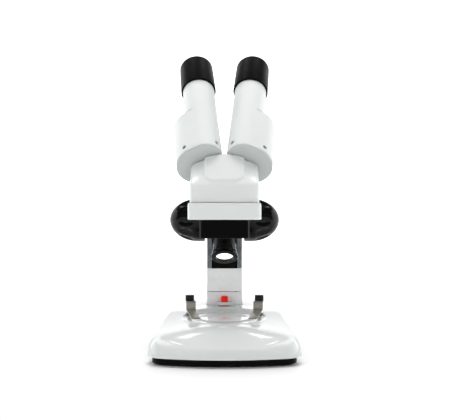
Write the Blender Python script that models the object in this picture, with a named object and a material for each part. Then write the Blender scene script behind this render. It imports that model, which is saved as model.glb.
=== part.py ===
"""Binocular toy stereo microscope: a weighted base with a stage, a pillar with rack focusing,
a head with a lamp, and two turning eyepiece drums.

Lengths are in millimetres until an object is placed, when they become metres. Positions are
measured from the optical axis on the table top: +X to the right, +Y to the pillar, +Z up.
"""
import math

import bmesh
import bpy
from mathutils import Matrix, Vector

MM = 0.001
GAP = 0.3
AXIS_Y = -18.35

# Base
RIM_Z = 5.8
BASE_FRONT_Y = -66.0
BASE_REAR_Y = 88.0
BASE_BOW = 8.0
BASE_WIDE = 56.0
BASE_WIDE_Y = -47.0
BASE_TAPER = 0.113
SHELL_WALL = 2.4
FRONT_CORNER_R = 12.0
REAR_CORNER_R = 16.0
LAND_R = 31.5
LAND_Z = 26.0
DECK_Z = 29.2
WELL_R = 19.6
WELL_Z = 23.4
BASE_STEPS = 48
PLATE_INSET = 3.6
PLATE_LOW, PLATE_FLOOR, PLATE_TOP = 1.0, 3.4, 5.5
FOOT_R = 7.0
FOOT_TOP = 1.9
FEET = {"front_left": (-41.0, -45.0), "front_right": (41.0, -45.0),
        "rear_left": (-31.0, 71.0), "rear_right": (31.0, 71.0)}
BASE_SCREWS = {"front_left": (-43.0, -26.0), "front_right": (43.0, -26.0),
               "rear_left": (-33.0, 50.0), "rear_right": (33.0, 50.0)}

# Batteries
CELL_R, CELL_LENGTH = 7.25, 50.5
BATTERY_Y = -9.4
BOX_X, BOX_Y = 31.0, 17.2
BOX_LOW, BOX_TOP, BOX_WALL = PLATE_FLOOR + GAP, 20.6, 1.5
DOOR_X, DOOR_Y = 28.5, 15.2

# Pillar
PILLAR_X = 15.0
PILLAR_FRONT, PILLAR_REAR = 52.0, 80.0
PILLAR_WALL = 2.2
SLOT_X = 11.2
LIP = 2.5
PILLAR_LOW, PILLAR_TOP = PLATE_FLOOR + GAP, 130.0
COVER_TOP, COVER_SEAM, PANEL_LOW = 60.5, 40.6, 29.6
COVER_DEEP = 1.9
BOLT_Y = 66.0

# Switch
BUTTON_X, BUTTON_Y = 2.9, 2.2
BUTTON_AT_Y = 48.4
BUTTON_LOW, BUTTON_TOP = 26.8, 37.4
BEZEL_X, BEZEL_LOW, BEZEL_TOP = 6.5, 29.8, 32.4

# Stage
DISC_R, DISC_TOP = 19.3, 26.3
POST_X, POST_Y = 27.6, 12.0
CLIP_REACH = 23.0
CLIP_TURN = math.radians(13.0)
CLIP_WIDE = 8.0

# Focus drive
SHAFT_Y, SHAFT_Z, SHAFT_R = 68.0, 101.5, 3.0
GEAR_MODULE, GEAR_TEETH = 1.0, 12
PITCH_R = GEAR_MODULE * GEAR_TEETH / 2
GEAR_TIP_R = PITCH_R + 0.8
RACK_Y = SHAFT_Y - PITCH_R
TOOTH_SLACK = 0.2
RACK_LOW, RACK_TOP = 76.0, 124.0
KNOB_Y_R = 18.9
KNOB_IN, KNOB_OUT = 16.9, 47.5
KNOB_SHOULDER = 22.5
DIMPLES, DIMPLE_DEEP, DIMPLE_TURN = 12, 1.5, math.radians(5)
DIMPLE_X, DIMPLE_HALF = 33.0, 7.0

# Head
FRAME_X, FRAME_FRONT, FRAME_REAR = 27.65, -28.0, 48.5
FRAME_LOW, FRAME_TOP = 102.7, 115.3
HEAD_X, HEAD_FRONT, HEAD_REAR = 26.25, -25.0, 45.8
HEAD_LOW = FRAME_TOP + GAP
HEAD_WALL = 2.2
HEAD_BOLT_Z = 109.0
SHOULDER_Z, SHOULDER_SLOPE, SHOULDER_FALL = 129.0, 0.80, 0.31
TONGUE_X, TONGUE_Z, TONGUE_CROWN = 15.0, 130.4, 0.0155
DECK_TOP = 125.4
LENS_X = 10.0
OBJ_X, OBJ_FRONT, OBJ_REAR = 18.65, -22.0, 16.0
OBJ_LOW, OBJ_TOP = 88.6, FRAME_LOW - GAP

# Eyepiece drums, in a frame on the pivot: z along the tube, y back and down, x to the side
LEAN = math.radians(4.9)
PIVOT = Vector((12.0, 15.7, 139.2))
DRUM_R, DRUM_X, DRUM_Y = 18.3, 7.9, -8.06
TUBE_R, TUBE_X, TUBE_Y = 13.6, 3.0, -15.66
DRUM_WALL = 1.8
PLATE_THICK = 2.2
DRUM_LOW, DRUM_TOP = PLATE_THICK + GAP, 50.0
TUBE_TOP = 87.8
SPIGOT_R, SPIGOT_DEEP = 7.0, 5.0
SIGHT_R = 4.5
DRUM_SCREW_Z = 7.8
DRUM_SCREWS = {"inner": -44.0, "outer": -128.0}
EYE_LOW, EYE_TOP = 88.1, 123.7
EYE_R, EYE_TOP_R = 15.0, 14.6

# Lamp, in a frame on its hinge: z along the barrel towards the hinge
LAMP_TILT = math.radians(32.0)
LAMP_HINGE = Vector((0.0, 44.5, 96.5))
LAMP_LONG = 30.0
LAMP_R, LAMP_RIM_R = 9.75, 11.0

WHITE = ("white", (0.84, 0.86, 0.855), 0.22, 0.0)
GREY = ("light_grey", (0.63, 0.65, 0.65), 0.35, 0.0)
PLATE_GREY = ("plate_grey", (0.48, 0.50, 0.49), 0.4, 0.0)
BLACK = ("black", (0.014, 0.014, 0.016), 0.3, 0.0)
RUBBER = ("rubber", (0.02, 0.02, 0.02), 0.75, 0.0)
RED = ("red", (0.85, 0.04, 0.02), 0.35, 0.0)
STEEL = ("steel", (0.55, 0.54, 0.52), 0.35, 1.0)
BRASS = ("brass", (0.72, 0.55, 0.28), 0.35, 1.0)
GLASS = ("glass", (0.75, 0.82, 0.86), 0.05, 0.0)
CHROME = ("chrome", (0.9, 0.9, 0.9), 0.06, 1.0)
CELL = ("cell_wrap", (0.05, 0.16, 0.30), 0.4, 0.2)
LED = ("led", (0.95, 0.93, 0.80), 0.2, 0.0)


# ---------------------------------------------------------------- tools

def clear_scene():
    for old in list(bpy.data.objects):
        bpy.data.objects.remove(old, do_unlink=True)


def material(look):
    name, colour, roughness, metallic = look
    found = bpy.data.materials.get(name)
    if found:
        return found
    made = bpy.data.materials.new(name)
    made.use_nodes = True
    shader = made.node_tree.nodes["Principled BSDF"]
    shader.inputs["Base Color"].default_value = (*colour, 1.0)
    shader.inputs["Roughness"].default_value = roughness
    shader.inputs["Metallic"].default_value = metallic
    return made


def place(name, bm, look, frame=Matrix(), sharp=35.0):
    """Turn a bmesh in millimetres into a named object whose origin is the frame's."""
    bmesh.ops.recalc_face_normals(bm, faces=bm.faces)
    bmesh.ops.scale(bm, vec=(MM, MM, MM), verts=bm.verts)
    mesh = bpy.data.meshes.new(name)
    bm.to_mesh(mesh)
    bm.free()
    mesh.shade_smooth()
    mesh.set_sharp_from_angle(angle=math.radians(sharp))
    thing = bpy.data.objects.new(name, mesh)
    if look:
        mesh.materials.append(material(look))
    bpy.context.scene.collection.objects.link(thing)
    thing.parent = ROOT
    thing.matrix_local = Matrix.Translation(frame.translation * MM) @ frame.to_3x3().to_4x4()
    return thing


def at(x, y, z):
    return Matrix.Translation((x, y, z))


def combine(thing, tools, operation="DIFFERENCE"):
    """Cut an object with tools, or join them to it, and keep the tools hidden."""
    for tool in tools:
        tool.hide_render = True
        tool.display_type = "WIRE"
        tool.hide_set(True)
        step = thing.modifiers.new(operation.title(), "BOOLEAN")
        step.operation = operation
        step.solver = "EXACT"
        step.object = tool
    return thing


def loft(rings, closed=False):
    """Skin a list of equal rings; the ends are capped unless the loft closes on itself."""
    bm = bmesh.new()
    made = [[bm.verts.new(point) for point in ring] for ring in rings]
    count = len(rings[0])
    pairs = list(zip(made, made[1:]))
    if closed:
        pairs.append((made[-1], made[0]))
    for low, high in pairs:
        for i in range(count):
            j = (i + 1) % count
            bm.faces.new((low[i], low[j], high[j], high[i]))
    if not closed:
        bm.faces.new(made[0])
        bm.faces.new(made[-1])
    return bm


def ring(outline, z):
    return [(x, y, z) for x, y in outline]


def prism(outline, low, high):
    return loft([ring(outline, low), ring(outline, high)])


def side_prism(outline, half_wide):
    """Extrude a (y, z) outline along X, the same distance to each side."""
    return loft([[(x, y, z) for y, z in outline] for x in (-half_wide, half_wide)])


def circle(radius, steps, x=0.0, y=0.0):
    return [(x + radius * math.cos(math.tau * i / steps), y + radius * math.sin(math.tau * i / steps))
            for i in range(steps)]


def disc(radius, low, high, steps=24, x=0.0, y=0.0):
    return prism(circle(radius, steps, x, y), low, high)


def rounded(x0, x1, y0, y1, radius, steps=4):
    """A rectangle with round corners."""
    centres = ((x1 - radius, y1 - radius), (x0 + radius, y1 - radius),
               (x0 + radius, y0 + radius), (x1 - radius, y0 + radius))
    outline = []
    for quarter, (cx, cy) in enumerate(centres):
        for step in range(steps + 1):
            angle = math.radians(90 * (quarter + step / steps))
            outline.append((cx + radius * math.cos(angle), cy + radius * math.sin(angle)))
    return outline


def block(x0, x1, y0, y1, z0, z1):
    return prism([(x0, y0), (x1, y0), (x1, y1), (x0, y1)], z0, z1)


def turned(profile, steps, closed=False):
    """Turn a (radius, z) profile about Z. Points on the axis become a single vertex."""
    bm = bmesh.new()
    rows = []
    for radius, z in profile:
        if radius < 1e-6:
            rows.append([bm.verts.new((0, 0, z))])
        else:
            rows.append([bm.verts.new((x, y, z)) for x, y in circle(radius, steps)])
    pairs = list(zip(rows, rows[1:]))
    if closed:
        pairs.append((rows[-1], rows[0]))
    for low, high in pairs:
        for i in range(0 if len(low) + len(high) == 2 else steps):
            j = (i + 1) % steps
            corners = [low[i % len(low)], low[j % len(low)], high[j % len(high)], high[i % len(high)]]
            bm.faces.new(list(dict.fromkeys(corners)))
    return bm


def tray(outer, inner, low, floor, top):
    """An open tray: a floor with a wall around it."""
    return loft([ring(outer, low), ring(outer, top), ring(inner, top), ring(inner, floor)])


def screw(name, x, y, low, length, head_r, shank_r, frame=None):
    """A pan-head screw that points up from its head."""
    profile = [(0, 0), (head_r * 0.8, 0), (head_r, 0.6), (head_r, 1.6),
               (shank_r, 1.6), (shank_r, length), (0, length)]
    return place(name, turned(profile, 12), STEEL, frame or at(x, y, low))


def turn_x(angle):
    return Matrix.Rotation(angle, 4, "X")


def along_x(x, y, z):
    """A frame whose z axis points along +X."""
    return at(x, y, z) @ Matrix.Rotation(math.pi / 2, 4, "Y")


# ---------------------------------------------------------------- base surface

def round_min(a, b, radius):
    """The smaller of two distances from an edge, with the corner between them rounded."""
    if a >= radius or b >= radius:
        return min(a, b)
    return radius - math.hypot(radius - a, radius - b)


def soft_min(a, b, blend):
    h = max(blend - abs(a - b), 0.0) / blend
    return min(a, b) - h * h * blend / 4


def soft_max(a, b, blend):
    return -soft_min(-a, -b, blend)


def smooth(t):
    t = min(max(t, 0.0), 1.0)
    return t * t * (3 - 2 * t)


def edge_distances(x, y):
    """How far a point is inside the base's front edge and its sides and rear."""
    front = y - BASE_FRONT_Y - BASE_BOW * (x / 50.0) ** 2
    half = BASE_WIDE - BASE_TAPER * (y - BASE_WIDE_Y)
    side = round_min(half - abs(x), BASE_REAR_Y - y, REAR_CORNER_R)
    return front, side


def inside(x, y):
    front, side = edge_distances(x, y)
    return round_min(front, side, FRONT_CORNER_R)


def rise(distance, width, power):
    """0 at the edge and 1 at the given width inside it."""
    return 1 - (1 - min(max(distance / width, 0.0), 1.0)) ** power


def deck_height(x, y):
    """The upper tier: a dome that falls to the front and rises to the pillar."""
    if y < -33.0:
        middle = LAND_Z - 0.0128 * (y + 33.0) ** 2
    elif y < 20.0:
        middle = LAND_Z + (DECK_Z - LAND_Z) * ((y + 33.0) / 53.0) ** 2
    else:
        middle = DECK_Z + 1.8 * smooth((y - 45.0) / 35.0)
    fall = min(max(0.00114 - 0.000055 * y, 0.0003), 0.0045)
    return middle - fall * x * x


def base_height(x, y, inset=0.0):
    """Height of the moulded top; with an inset, of the hollow beneath it."""
    front, side = edge_distances(x, y)
    front -= inset
    side -= inset
    around = round_min(front, side, FRONT_CORNER_R)
    wall = 6.0 + 26.0 * rise(side, 8.0, 3.0)
    panel = 6.0 + 5.2 * rise(front, 3.0, 2.0) + 0.66 * max(front, 0.0)
    upper = soft_min(soft_min(deck_height(x, y), panel, 1.5), wall, 3.0)
    lobe = 25.3 + 0.184 * min(y, 0.0) - 6.0 * smooth((31.0 - abs(x)) / 14.0)
    lobe_edge = 6.0 + 14.0 * rise(around, 10.0, 2.2)
    lower = soft_min(soft_min(lobe, lobe_edge, 3.0), wall, 3.0)
    top = soft_max(upper, lower, 1.2)
    rim = 6.0 + 26.0 * rise(around, 4.0, 3.0)
    return max(min(top, rim), 6.0) - inset


def base_outline(inset=0.0, steps=BASE_STEPS):
    """The base's plan outline, found along each direction from the optical axis."""
    outline = []
    for i in range(steps):
        angle = math.tau * (i + 0.5) / steps
        near, far = 20.0, 120.0
        while far - near > 0.001:
            middle = (near + far) / 2
            if inside(middle * math.cos(angle), middle * math.sin(angle)) > inset:
                near = middle
            else:
                far = middle
        outline.append((near * math.cos(angle), near * math.sin(angle)))
    return outline


def spread(outline, radius, share):
    """A ring between a circle and the outline."""
    points = []
    for x, y in outline:
        reach = math.hypot(x, y)
        scale = (radius + (reach - radius) * share) / reach
        points.append((x * scale, y * scale))
    return points


def base_shell():
    """The white moulding, hollow beneath, with the stage's well in its top."""
    outer = base_outline()
    inner = base_outline(SHELL_WALL)
    rings = []
    for share in (0.0, 1.0):
        rings.append(ring(spread(outer, WELL_R * (0.3 + 0.7 * share), 0.0), WELL_Z))
    rings.append(ring(spread(outer, WELL_R, 0.0), LAND_Z))
    rings.append(ring(spread(outer, LAND_R, 0.0), LAND_Z))
    for share in (0.02, 0.3, 0.55, 0.75, 0.87, 0.94, 0.98):
        points = spread(outer, LAND_R, share)
        rings.append([(x, y, base_height(x, y)) for x, y in points])
    rings.append(ring(outer, RIM_Z + 0.6))
    rings.append(ring(outer, RIM_Z))
    rings.append(ring(inner, RIM_Z))
    for share in (0.96, 0.85, 0.6, 0.1):
        points = spread(inner, LAND_R, share)
        rings.append([(x, y, max(base_height(x, y, SHELL_WALL), RIM_Z + 1)) for x, y in points])
    rings.append(ring(spread(outer, LAND_R, 0.0), LAND_Z - SHELL_WALL))
    rings.append(ring(spread(outer, WELL_R + 2.0, 0.0), LAND_Z - SHELL_WALL))
    rings.append(ring(spread(outer, WELL_R + 2.0, 0.0), WELL_Z - 2.0))
    shell = place("base_shell", loft(rings), WHITE)
    posts = [place(f"boss_{key}", disc(3.6, PLATE_FLOOR + GAP, base_height(x, y) - 1.2, 12, x, y), None)
             for key, (x, y) in BASE_SCREWS.items()]
    combine(shell, posts, "UNION")
    cuts = [place("cut_pillar", block(-PILLAR_X - GAP, PILLAR_X + GAP, PILLAR_FRONT - GAP,
                                      PILLAR_REAR + GAP, 8.0, 50.0), None)]
    cuts.append(place("cut_switch", block(-BUTTON_X - 0.4, BUTTON_X + 0.4, BUTTON_AT_Y - BUTTON_Y - 0.4,
                                          BUTTON_AT_Y + BUTTON_Y + 0.4, 20.0, 50.0), None))
    for side in (-1, 1):
        cuts.append(place("cut_post", disc(2.4, 15.0, 45.0, 12, side * POST_X, POST_Y), None))
    for x, y in BASE_SCREWS.values():
        cuts.append(place("cut_screw", disc(1.8, 0.0, 15.0, 12, x, y), None))
    combine(shell, cuts)


def base_plate():
    """The black bottom tray with its battery opening, foot pockets and screw holes."""
    outer = base_outline(PLATE_INSET)
    inner = base_outline(PLATE_INSET + 2.0)
    plate = place("base_plate", tray(outer, inner, PLATE_LOW, PLATE_FLOOR, PLATE_TOP), BLACK)
    cuts = [place("cut_door", block(-DOOR_X - GAP, DOOR_X + GAP, BATTERY_Y - DOOR_Y - GAP,
                                    BATTERY_Y + DOOR_Y + GAP, 0.0, 5.0), None)]
    for x, y in FEET.values():
        cuts.append(place("cut_foot", disc(FOOT_R + GAP, 0.0, FOOT_TOP + GAP, 20, x, y), None))
    for x, y in BASE_SCREWS.values():
        cuts.append(place("cut_hole", disc(1.9, 0.0, 5.0, 12, x, y), None))
        cuts.append(place("cut_head", disc(3.2, 0.0, 2.1, 12, x, y), None))
    cuts.append(place("cut_bolt", disc(1.9, 0.0, 5.0, 12, 0.0, BOLT_Y), None))
    cuts.append(place("cut_bolt_head", disc(3.8, 0.0, 2.3, 12, 0.0, BOLT_Y), None))
    combine(plate, cuts)


def feet():
    profile = [(0, 0), (FOOT_R - 1.0, 0), (FOOT_R, 0.9), (FOOT_R, FOOT_TOP), (0, FOOT_TOP)]
    for key, (x, y) in FEET.items():
        place(f"foot_{key}", turned(profile, 20), RUBBER, at(x, y, 0.0))


def base_screws():
    for key, (x, y) in BASE_SCREWS.items():
        screw(f"base_screw_{key}", x, y, 0.45, 12.0, 2.8, 1.4)


def batteries():
    """Two cells side by side in a box that opens downwards, with a screwed door."""
    outer = rounded(-BOX_X, BOX_X, BATTERY_Y - BOX_Y, BATTERY_Y + BOX_Y, 1.5, 2)
    wall = BOX_WALL
    inner = rounded(-BOX_X + wall, BOX_X - wall, BATTERY_Y - BOX_Y + wall, BATTERY_Y + BOX_Y - wall, 0.6, 2)
    place("battery_box", tray(outer, inner, BOX_TOP, BOX_TOP - wall, BOX_LOW), BLACK)
    door = place("battery_door", block(-DOOR_X, DOOR_X, BATTERY_Y - DOOR_Y, BATTERY_Y + DOOR_Y,
                                       PLATE_LOW + 0.1, PLATE_LOW + 1.8), BLACK)
    combine(door, [place("cut_door_screw", disc(1.8, 0.0, 5.0, 12, 0.0, BATTERY_Y), None),
                   place("cut_door_head", disc(2.9, 0.0, 2.0, 12, 0.0, BATTERY_Y), None)])
    screw("battery_door_screw", 0.0, BATTERY_Y, 0.35, 5.4, 2.6, 1.4)
    cell = [(0, -CELL_LENGTH / 2), (CELL_R, -CELL_LENGTH / 2), (CELL_R, CELL_LENGTH / 2 - 1.5),
            (2.7, CELL_LENGTH / 2 - 1.5), (2.7, CELL_LENGTH / 2), (0, CELL_LENGTH / 2)]
    for key, side in (("front", -1), ("rear", 1)):
        frame = along_x(0.0, BATTERY_Y + side * (CELL_R + 0.25), 11.4)
        if side > 0:
            frame = frame @ Matrix.Rotation(math.pi, 4, "Y")
        place(f"battery_{key}", turned(cell, 20), CELL, frame)
    for key, side in (("left", -1), ("right", 1)):
        x = side * 27.4
        place(f"battery_contact_{key}", block(x - 0.3, x + 0.3, BATTERY_Y - 12.0, BATTERY_Y + 12.0,
                                              7.0, 16.0), STEEL)


# ---------------------------------------------------------------- pillar, switch and stage

def pillar():
    """A C-shaped column with its slot to the front, standing on a foot block."""
    x, wall = PILLAR_X, PILLAR_WALL
    deep = PILLAR_FRONT + LIP
    section = [(-x, PILLAR_FRONT), (-SLOT_X, PILLAR_FRONT), (-SLOT_X, deep), (-x + wall, deep),
               (-x + wall, PILLAR_REAR - wall), (x - wall, PILLAR_REAR - wall), (x - wall, deep),
               (SLOT_X, deep), (SLOT_X, PILLAR_FRONT), (x, PILLAR_FRONT), (x, PILLAR_REAR - 2.0),
               (x - 2.0, PILLAR_REAR), (-x + 2.0, PILLAR_REAR), (-x, PILLAR_REAR - 2.0)]
    column = place("pillar", prism(section, PILLAR_LOW, PILLAR_TOP), WHITE)
    foot = place("foot_block", block(-x + 0.5, x - 0.5, PILLAR_FRONT + 0.5, PILLAR_REAR - 0.5,
                                     PILLAR_LOW + 0.1, 14.0), None)
    combine(column, [foot], "UNION")
    cuts = [place("cut_cover", block(-x - 1, x + 1, PILLAR_FRONT - 1, PILLAR_FRONT + COVER_DEEP + GAP,
                                     28.0, COVER_TOP + GAP / 2), None),
            place("cut_shaft", prism(circle(SHAFT_R + 0.15, 16), -20, 20), None,
                  along_x(0, SHAFT_Y, SHAFT_Z)),
            place("cut_foot_bolt", disc(1.9, 0, 12, 12, 0, BOLT_Y), None)]
    combine(column, cuts)
    screw("pillar_bolt", 0.0, BOLT_Y, 0.5, 10.0, 3.4, 1.6)
    cap = [(-x, RACK_Y + 2.0), (x, RACK_Y + 2.0), (x, PILLAR_REAR - 2.0), (x - 2.0, PILLAR_REAR),
           (-x + 2.0, PILLAR_REAR), (-x, PILLAR_REAR - 2.0)]
    place("pillar_cap", prism(cap, PILLAR_TOP + GAP, PILLAR_TOP + 2.3), WHITE)
    front = (PILLAR_FRONT, PILLAR_FRONT + COVER_DEEP)
    place("pillar_cover", block(-x, x, *front, COVER_SEAM + 0.2, COVER_TOP - 0.15), GREY)
    place("switch_panel", block(-x, x, *front, PANEL_LOW, COVER_SEAM - 0.2), GREY)


def switch():
    """A red button that presses down into a white bezel; its contacts are under the deck."""
    y = BUTTON_AT_Y
    bezel = place("switch_bezel", block(-BEZEL_X, BEZEL_X, y - 3.2, PILLAR_FRONT - GAP,
                                        BEZEL_LOW, BEZEL_TOP), WHITE)
    hole = block(-BUTTON_X - GAP, BUTTON_X + GAP, y - BUTTON_Y - GAP, y + BUTTON_Y + GAP, 20.0, 50.0)
    combine(bezel, [place("cut_button", hole, None)])
    button = rounded(-BUTTON_X, BUTTON_X, -BUTTON_Y, BUTTON_Y, 0.8, 2)
    tall = BUTTON_TOP - BUTTON_LOW
    place("switch_button", prism(button, 0.0, tall), RED, at(0.0, y, BUTTON_LOW))
    place("switch_body", block(-7.0, 7.0, y - 4.5, PILLAR_FRONT - 1.0, 12.0, BUTTON_LOW - 2.3), BLACK)


def stage():
    profile = [(0, WELL_Z + GAP), (DISC_R, WELL_Z + GAP), (DISC_R, DISC_TOP - 0.4),
               (DISC_R - 0.4, DISC_TOP), (0, DISC_TOP)]
    place("stage_disc", turned(profile, 40), WHITE)
    for key, side in (("left", -1), ("right", 1)):
        clip(key, side)


def clip(key, side):
    """A spring-steel strip that hangs from a turning post and reaches over the stage's edge."""
    frame = at(side * POST_X, POST_Y, 0.0) @ Matrix.Rotation(-side * CLIP_TURN, 4, "Z")
    thick, half = 0.6, CLIP_WIDE / 2
    path = [(4.4, 37.7), (-4.6, 37.7), (-5.2, 31.4), (-5.2 - CLIP_REACH + 1.5, 27.2),
            (-5.2 - CLIP_REACH, 28.3)]
    rings = []
    for index, (y, z) in enumerate(path):
        before = Vector(path[max(index - 1, 0)])
        after = Vector(path[min(index + 1, len(path) - 1)])
        along = (after - before).normalized()
        off = Vector((along.y, -along.x)) * thick / 2
        rings.append([(-half, y - off.x, z - off.y), (half, y - off.x, z - off.y),
                      (half, y + off.x, z + off.y), (-half, y + off.x, z + off.y)])
    blade = place(f"clip_blade_{key}", loft(rings), STEEL, frame)
    combine(blade, [place(f"cut_blade_{key}", disc(2.3, 35.0, 40.0, 12), None, frame)])
    profile = [(0, 18.0), (3.4, 18.0), (3.4, 19.5), (2.0, 19.5), (2.0, 38.3),
               (3.6, 38.3), (3.6, 42.2), (3.2, 42.6), (0, 42.6)]
    place(f"clip_post_{key}", turned(profile, 16), BLACK, frame)


# ---------------------------------------------------------------- focus drive

def gear_outline():
    """Involute teeth, thinned a little so that they run free of the rack."""
    base = PITCH_R * math.cos(math.radians(20))
    tip, root = GEAR_TIP_R, PITCH_R - 0.95
    half = (math.pi * GEAR_MODULE / 2 - TOOTH_SLACK) / 2 / PITCH_R
    pitch_roll = math.sqrt((PITCH_R / base) ** 2 - 1)
    half += pitch_roll - math.atan(pitch_roll)
    flank = [(root, half)]
    for step in range(4):
        radius = base + (tip - base) * step / 3
        roll = math.sqrt(max((radius / base) ** 2 - 1, 0.0))
        flank.append((radius, half - (roll - math.atan(roll))))
    outline = []
    for tooth in range(GEAR_TEETH):
        middle = math.tau * tooth / GEAR_TEETH
        outline += [(r * math.cos(middle - a), r * math.sin(middle - a)) for r, a in flank]
        outline += [(r * math.cos(middle + a), r * math.sin(middle + a)) for r, a in reversed(flank)]
    return outline


def rack_outline():
    """The rack's (y, z) outline: teeth to the rear, spaced to meet the gear between two teeth."""
    pitch = math.pi * GEAR_MODULE
    half = (pitch / 2 - TOOTH_SLACK) / 2
    slope = math.tan(math.radians(20))
    tip, root = 0.7, -1.05
    front = RACK_Y - 4.2
    outline = [(front, RACK_LOW)]
    centre = SHAFT_Z - pitch * 8 + pitch / 2
    while centre < RACK_TOP - pitch / 2:
        if centre > RACK_LOW + pitch / 2:
            for depth, way in ((root, -1), (tip, -1), (tip, 1), (root, 1)):
                outline.append((RACK_Y + depth, centre + way * (half - depth * slope)))
        centre += pitch
    outline.insert(1, (RACK_Y + root, RACK_LOW))
    outline += [(RACK_Y + root, RACK_TOP), (front, RACK_TOP)]
    return outline


def focus_drive():
    frame = along_x(0.0, SHAFT_Y, SHAFT_Z)
    shaft = place("pinion_shaft", prism(circle(SHAFT_R, 16), -29.0, 29.0), STEEL, frame)
    combine(shaft, [place("pinion_gear", prism(gear_outline(), -7.0, 7.0), None, frame)], "UNION")
    for key, side in (("left", -1), ("right", 1)):
        turn = Matrix.Rotation(0 if side > 0 else math.pi, 4, "Y")
        place(f"focus_knob_{key}", knob(side * DIMPLE_TURN), BLACK, frame @ turn)


def knob_radius(z):
    """The knob's outline: a straight barrel that closes as half an ellipse at its outer end."""
    share = max(z - KNOB_SHOULDER, 0.0) / (KNOB_OUT - KNOB_SHOULDER)
    return KNOB_Y_R * math.sqrt(max(1 - share * share, 0.0))


def knob(turn):
    """A moulded knob with oval finger dimples, bored for the shaft."""
    steps = 48
    rows = [[(x, y, KNOB_IN + 13.0) for x, y in circle(0.4, steps)],
            [(x, y, KNOB_IN + 13.0) for x, y in circle(SHAFT_R + GAP, steps)],
            [(x, y, KNOB_IN) for x, y in circle(SHAFT_R + GAP, steps)]]
    for level in (0.0, 0.18, 0.3, 0.39, 0.46, 0.53, 0.6, 0.67, 0.76, 0.86, 0.93, 0.98):
        z = KNOB_IN + (KNOB_OUT - KNOB_IN) * level
        along = (z - DIMPLE_X) / DIMPLE_HALF
        points = []
        for i in range(steps):
            angle = math.tau * i / steps
            across = max(math.cos((angle - turn) * DIMPLES), 0.0)
            radius = knob_radius(z) - DIMPLE_DEEP * across * max(1 - along * along, 0.0)
            points.append((radius * math.cos(angle), radius * math.sin(angle), z))
        rows.append(points)
    rows.append([(x, y, KNOB_OUT) for x, y in circle(1.2, steps)])
    return loft(rows)


# ---------------------------------------------------------------- head

def carriage():
    """The black slide: a tongue behind the pillar's lips, a rack, and a neck to the head."""
    top = RACK_TOP + 2.0
    tongue_y = PILLAR_FRONT + LIP + 0.4
    slide = place("carriage", block(-12.4, 12.4, tongue_y, RACK_Y - 3.8, 50.0, top), BLACK)
    rack = place("rack", side_prism(rack_outline(), 6.8), None)
    neck = place("neck", block(-SLOT_X + GAP, SLOT_X - GAP, FRAME_REAR + GAP, tongue_y + 1.0,
                               FRAME_LOW + 0.5, top), None)
    combine(slide, [rack, neck], "UNION")
    bolt_frame = at(0.0, SHAFT_Y - GEAR_TIP_R - 0.4, HEAD_BOLT_Z) @ turn_x(math.pi / 2)
    cuts = [place("cut_carriage_bolt", disc(1.9, -20, 30, 12), None, bolt_frame),
            place("cut_carriage_head", disc(3.4, -9, 2.4, 12), None, bolt_frame)]
    combine(slide, cuts)
    screw("carriage_bolt", 0, 0, 0, 13.4, 3.0, 1.6, frame=bolt_frame)
    lead = at(9.8, RACK_Y - 3.8 + GAP + 1.1, 0.0)
    place("lamp_lead", disc(1.1, 32.0, 75.0, 8), RUBBER, lead)


def head():
    """The lower frame, the cover with its raised tongue, and the objective housing."""
    wall = HEAD_WALL
    outer = rounded(-FRAME_X, FRAME_X, FRAME_FRONT, FRAME_REAR, 6.0)
    inner = rounded(-FRAME_X + wall, FRAME_X - wall, FRAME_FRONT + wall, FRAME_REAR - wall, 4.0)
    frame = place("head_frame", tray(outer, inner, FRAME_LOW, FRAME_LOW + wall, FRAME_TOP), WHITE)
    cuts = [place("cut_sight", disc(6.0, 100, 108, 20, side * LENS_X, 0), None) for side in (-1, 1)]
    bolt_frame = at(0.0, FRAME_REAR + 1, HEAD_BOLT_Z) @ turn_x(math.pi / 2)
    cuts.append(place("cut_frame_bolt", disc(1.9, -1, 5, 12), None, bolt_frame))
    combine(frame, cuts)
    head_shell()
    objective()


def roof_height(x, y, inset):
    """The two planes on which the drums stand, each leaning to its own side."""
    normal = drum_frame(1 if x > 0 else -1).to_3x3() @ Vector((0, 0, 1))
    side = math.copysign(PIVOT.x, x)
    offset = (Vector((x, y, 0)) - Vector((side, PIVOT.y, PIVOT.z))).dot(normal)
    return (-offset - 1.0 - inset) / normal.z


def head_profile(inset, tongue):
    """Height of the cover's leaning front, roof and rear deck, for shoulders or tongue."""
    front = HEAD_FRONT + inset

    def height(x, y):
        if tongue:
            face = TONGUE_Z + (y - front) - TONGUE_CROWN * x * x
        else:
            face = SHOULDER_Z + (SHOULDER_SLOPE - SHOULDER_FALL * (x / HEAD_X) ** 2) * (y - front)
        roof = roof_height(x if abs(x) > 0.01 else 0.01, y, inset)
        return max(min(face - inset, roof), DECK_TOP - inset)
    return height


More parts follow.
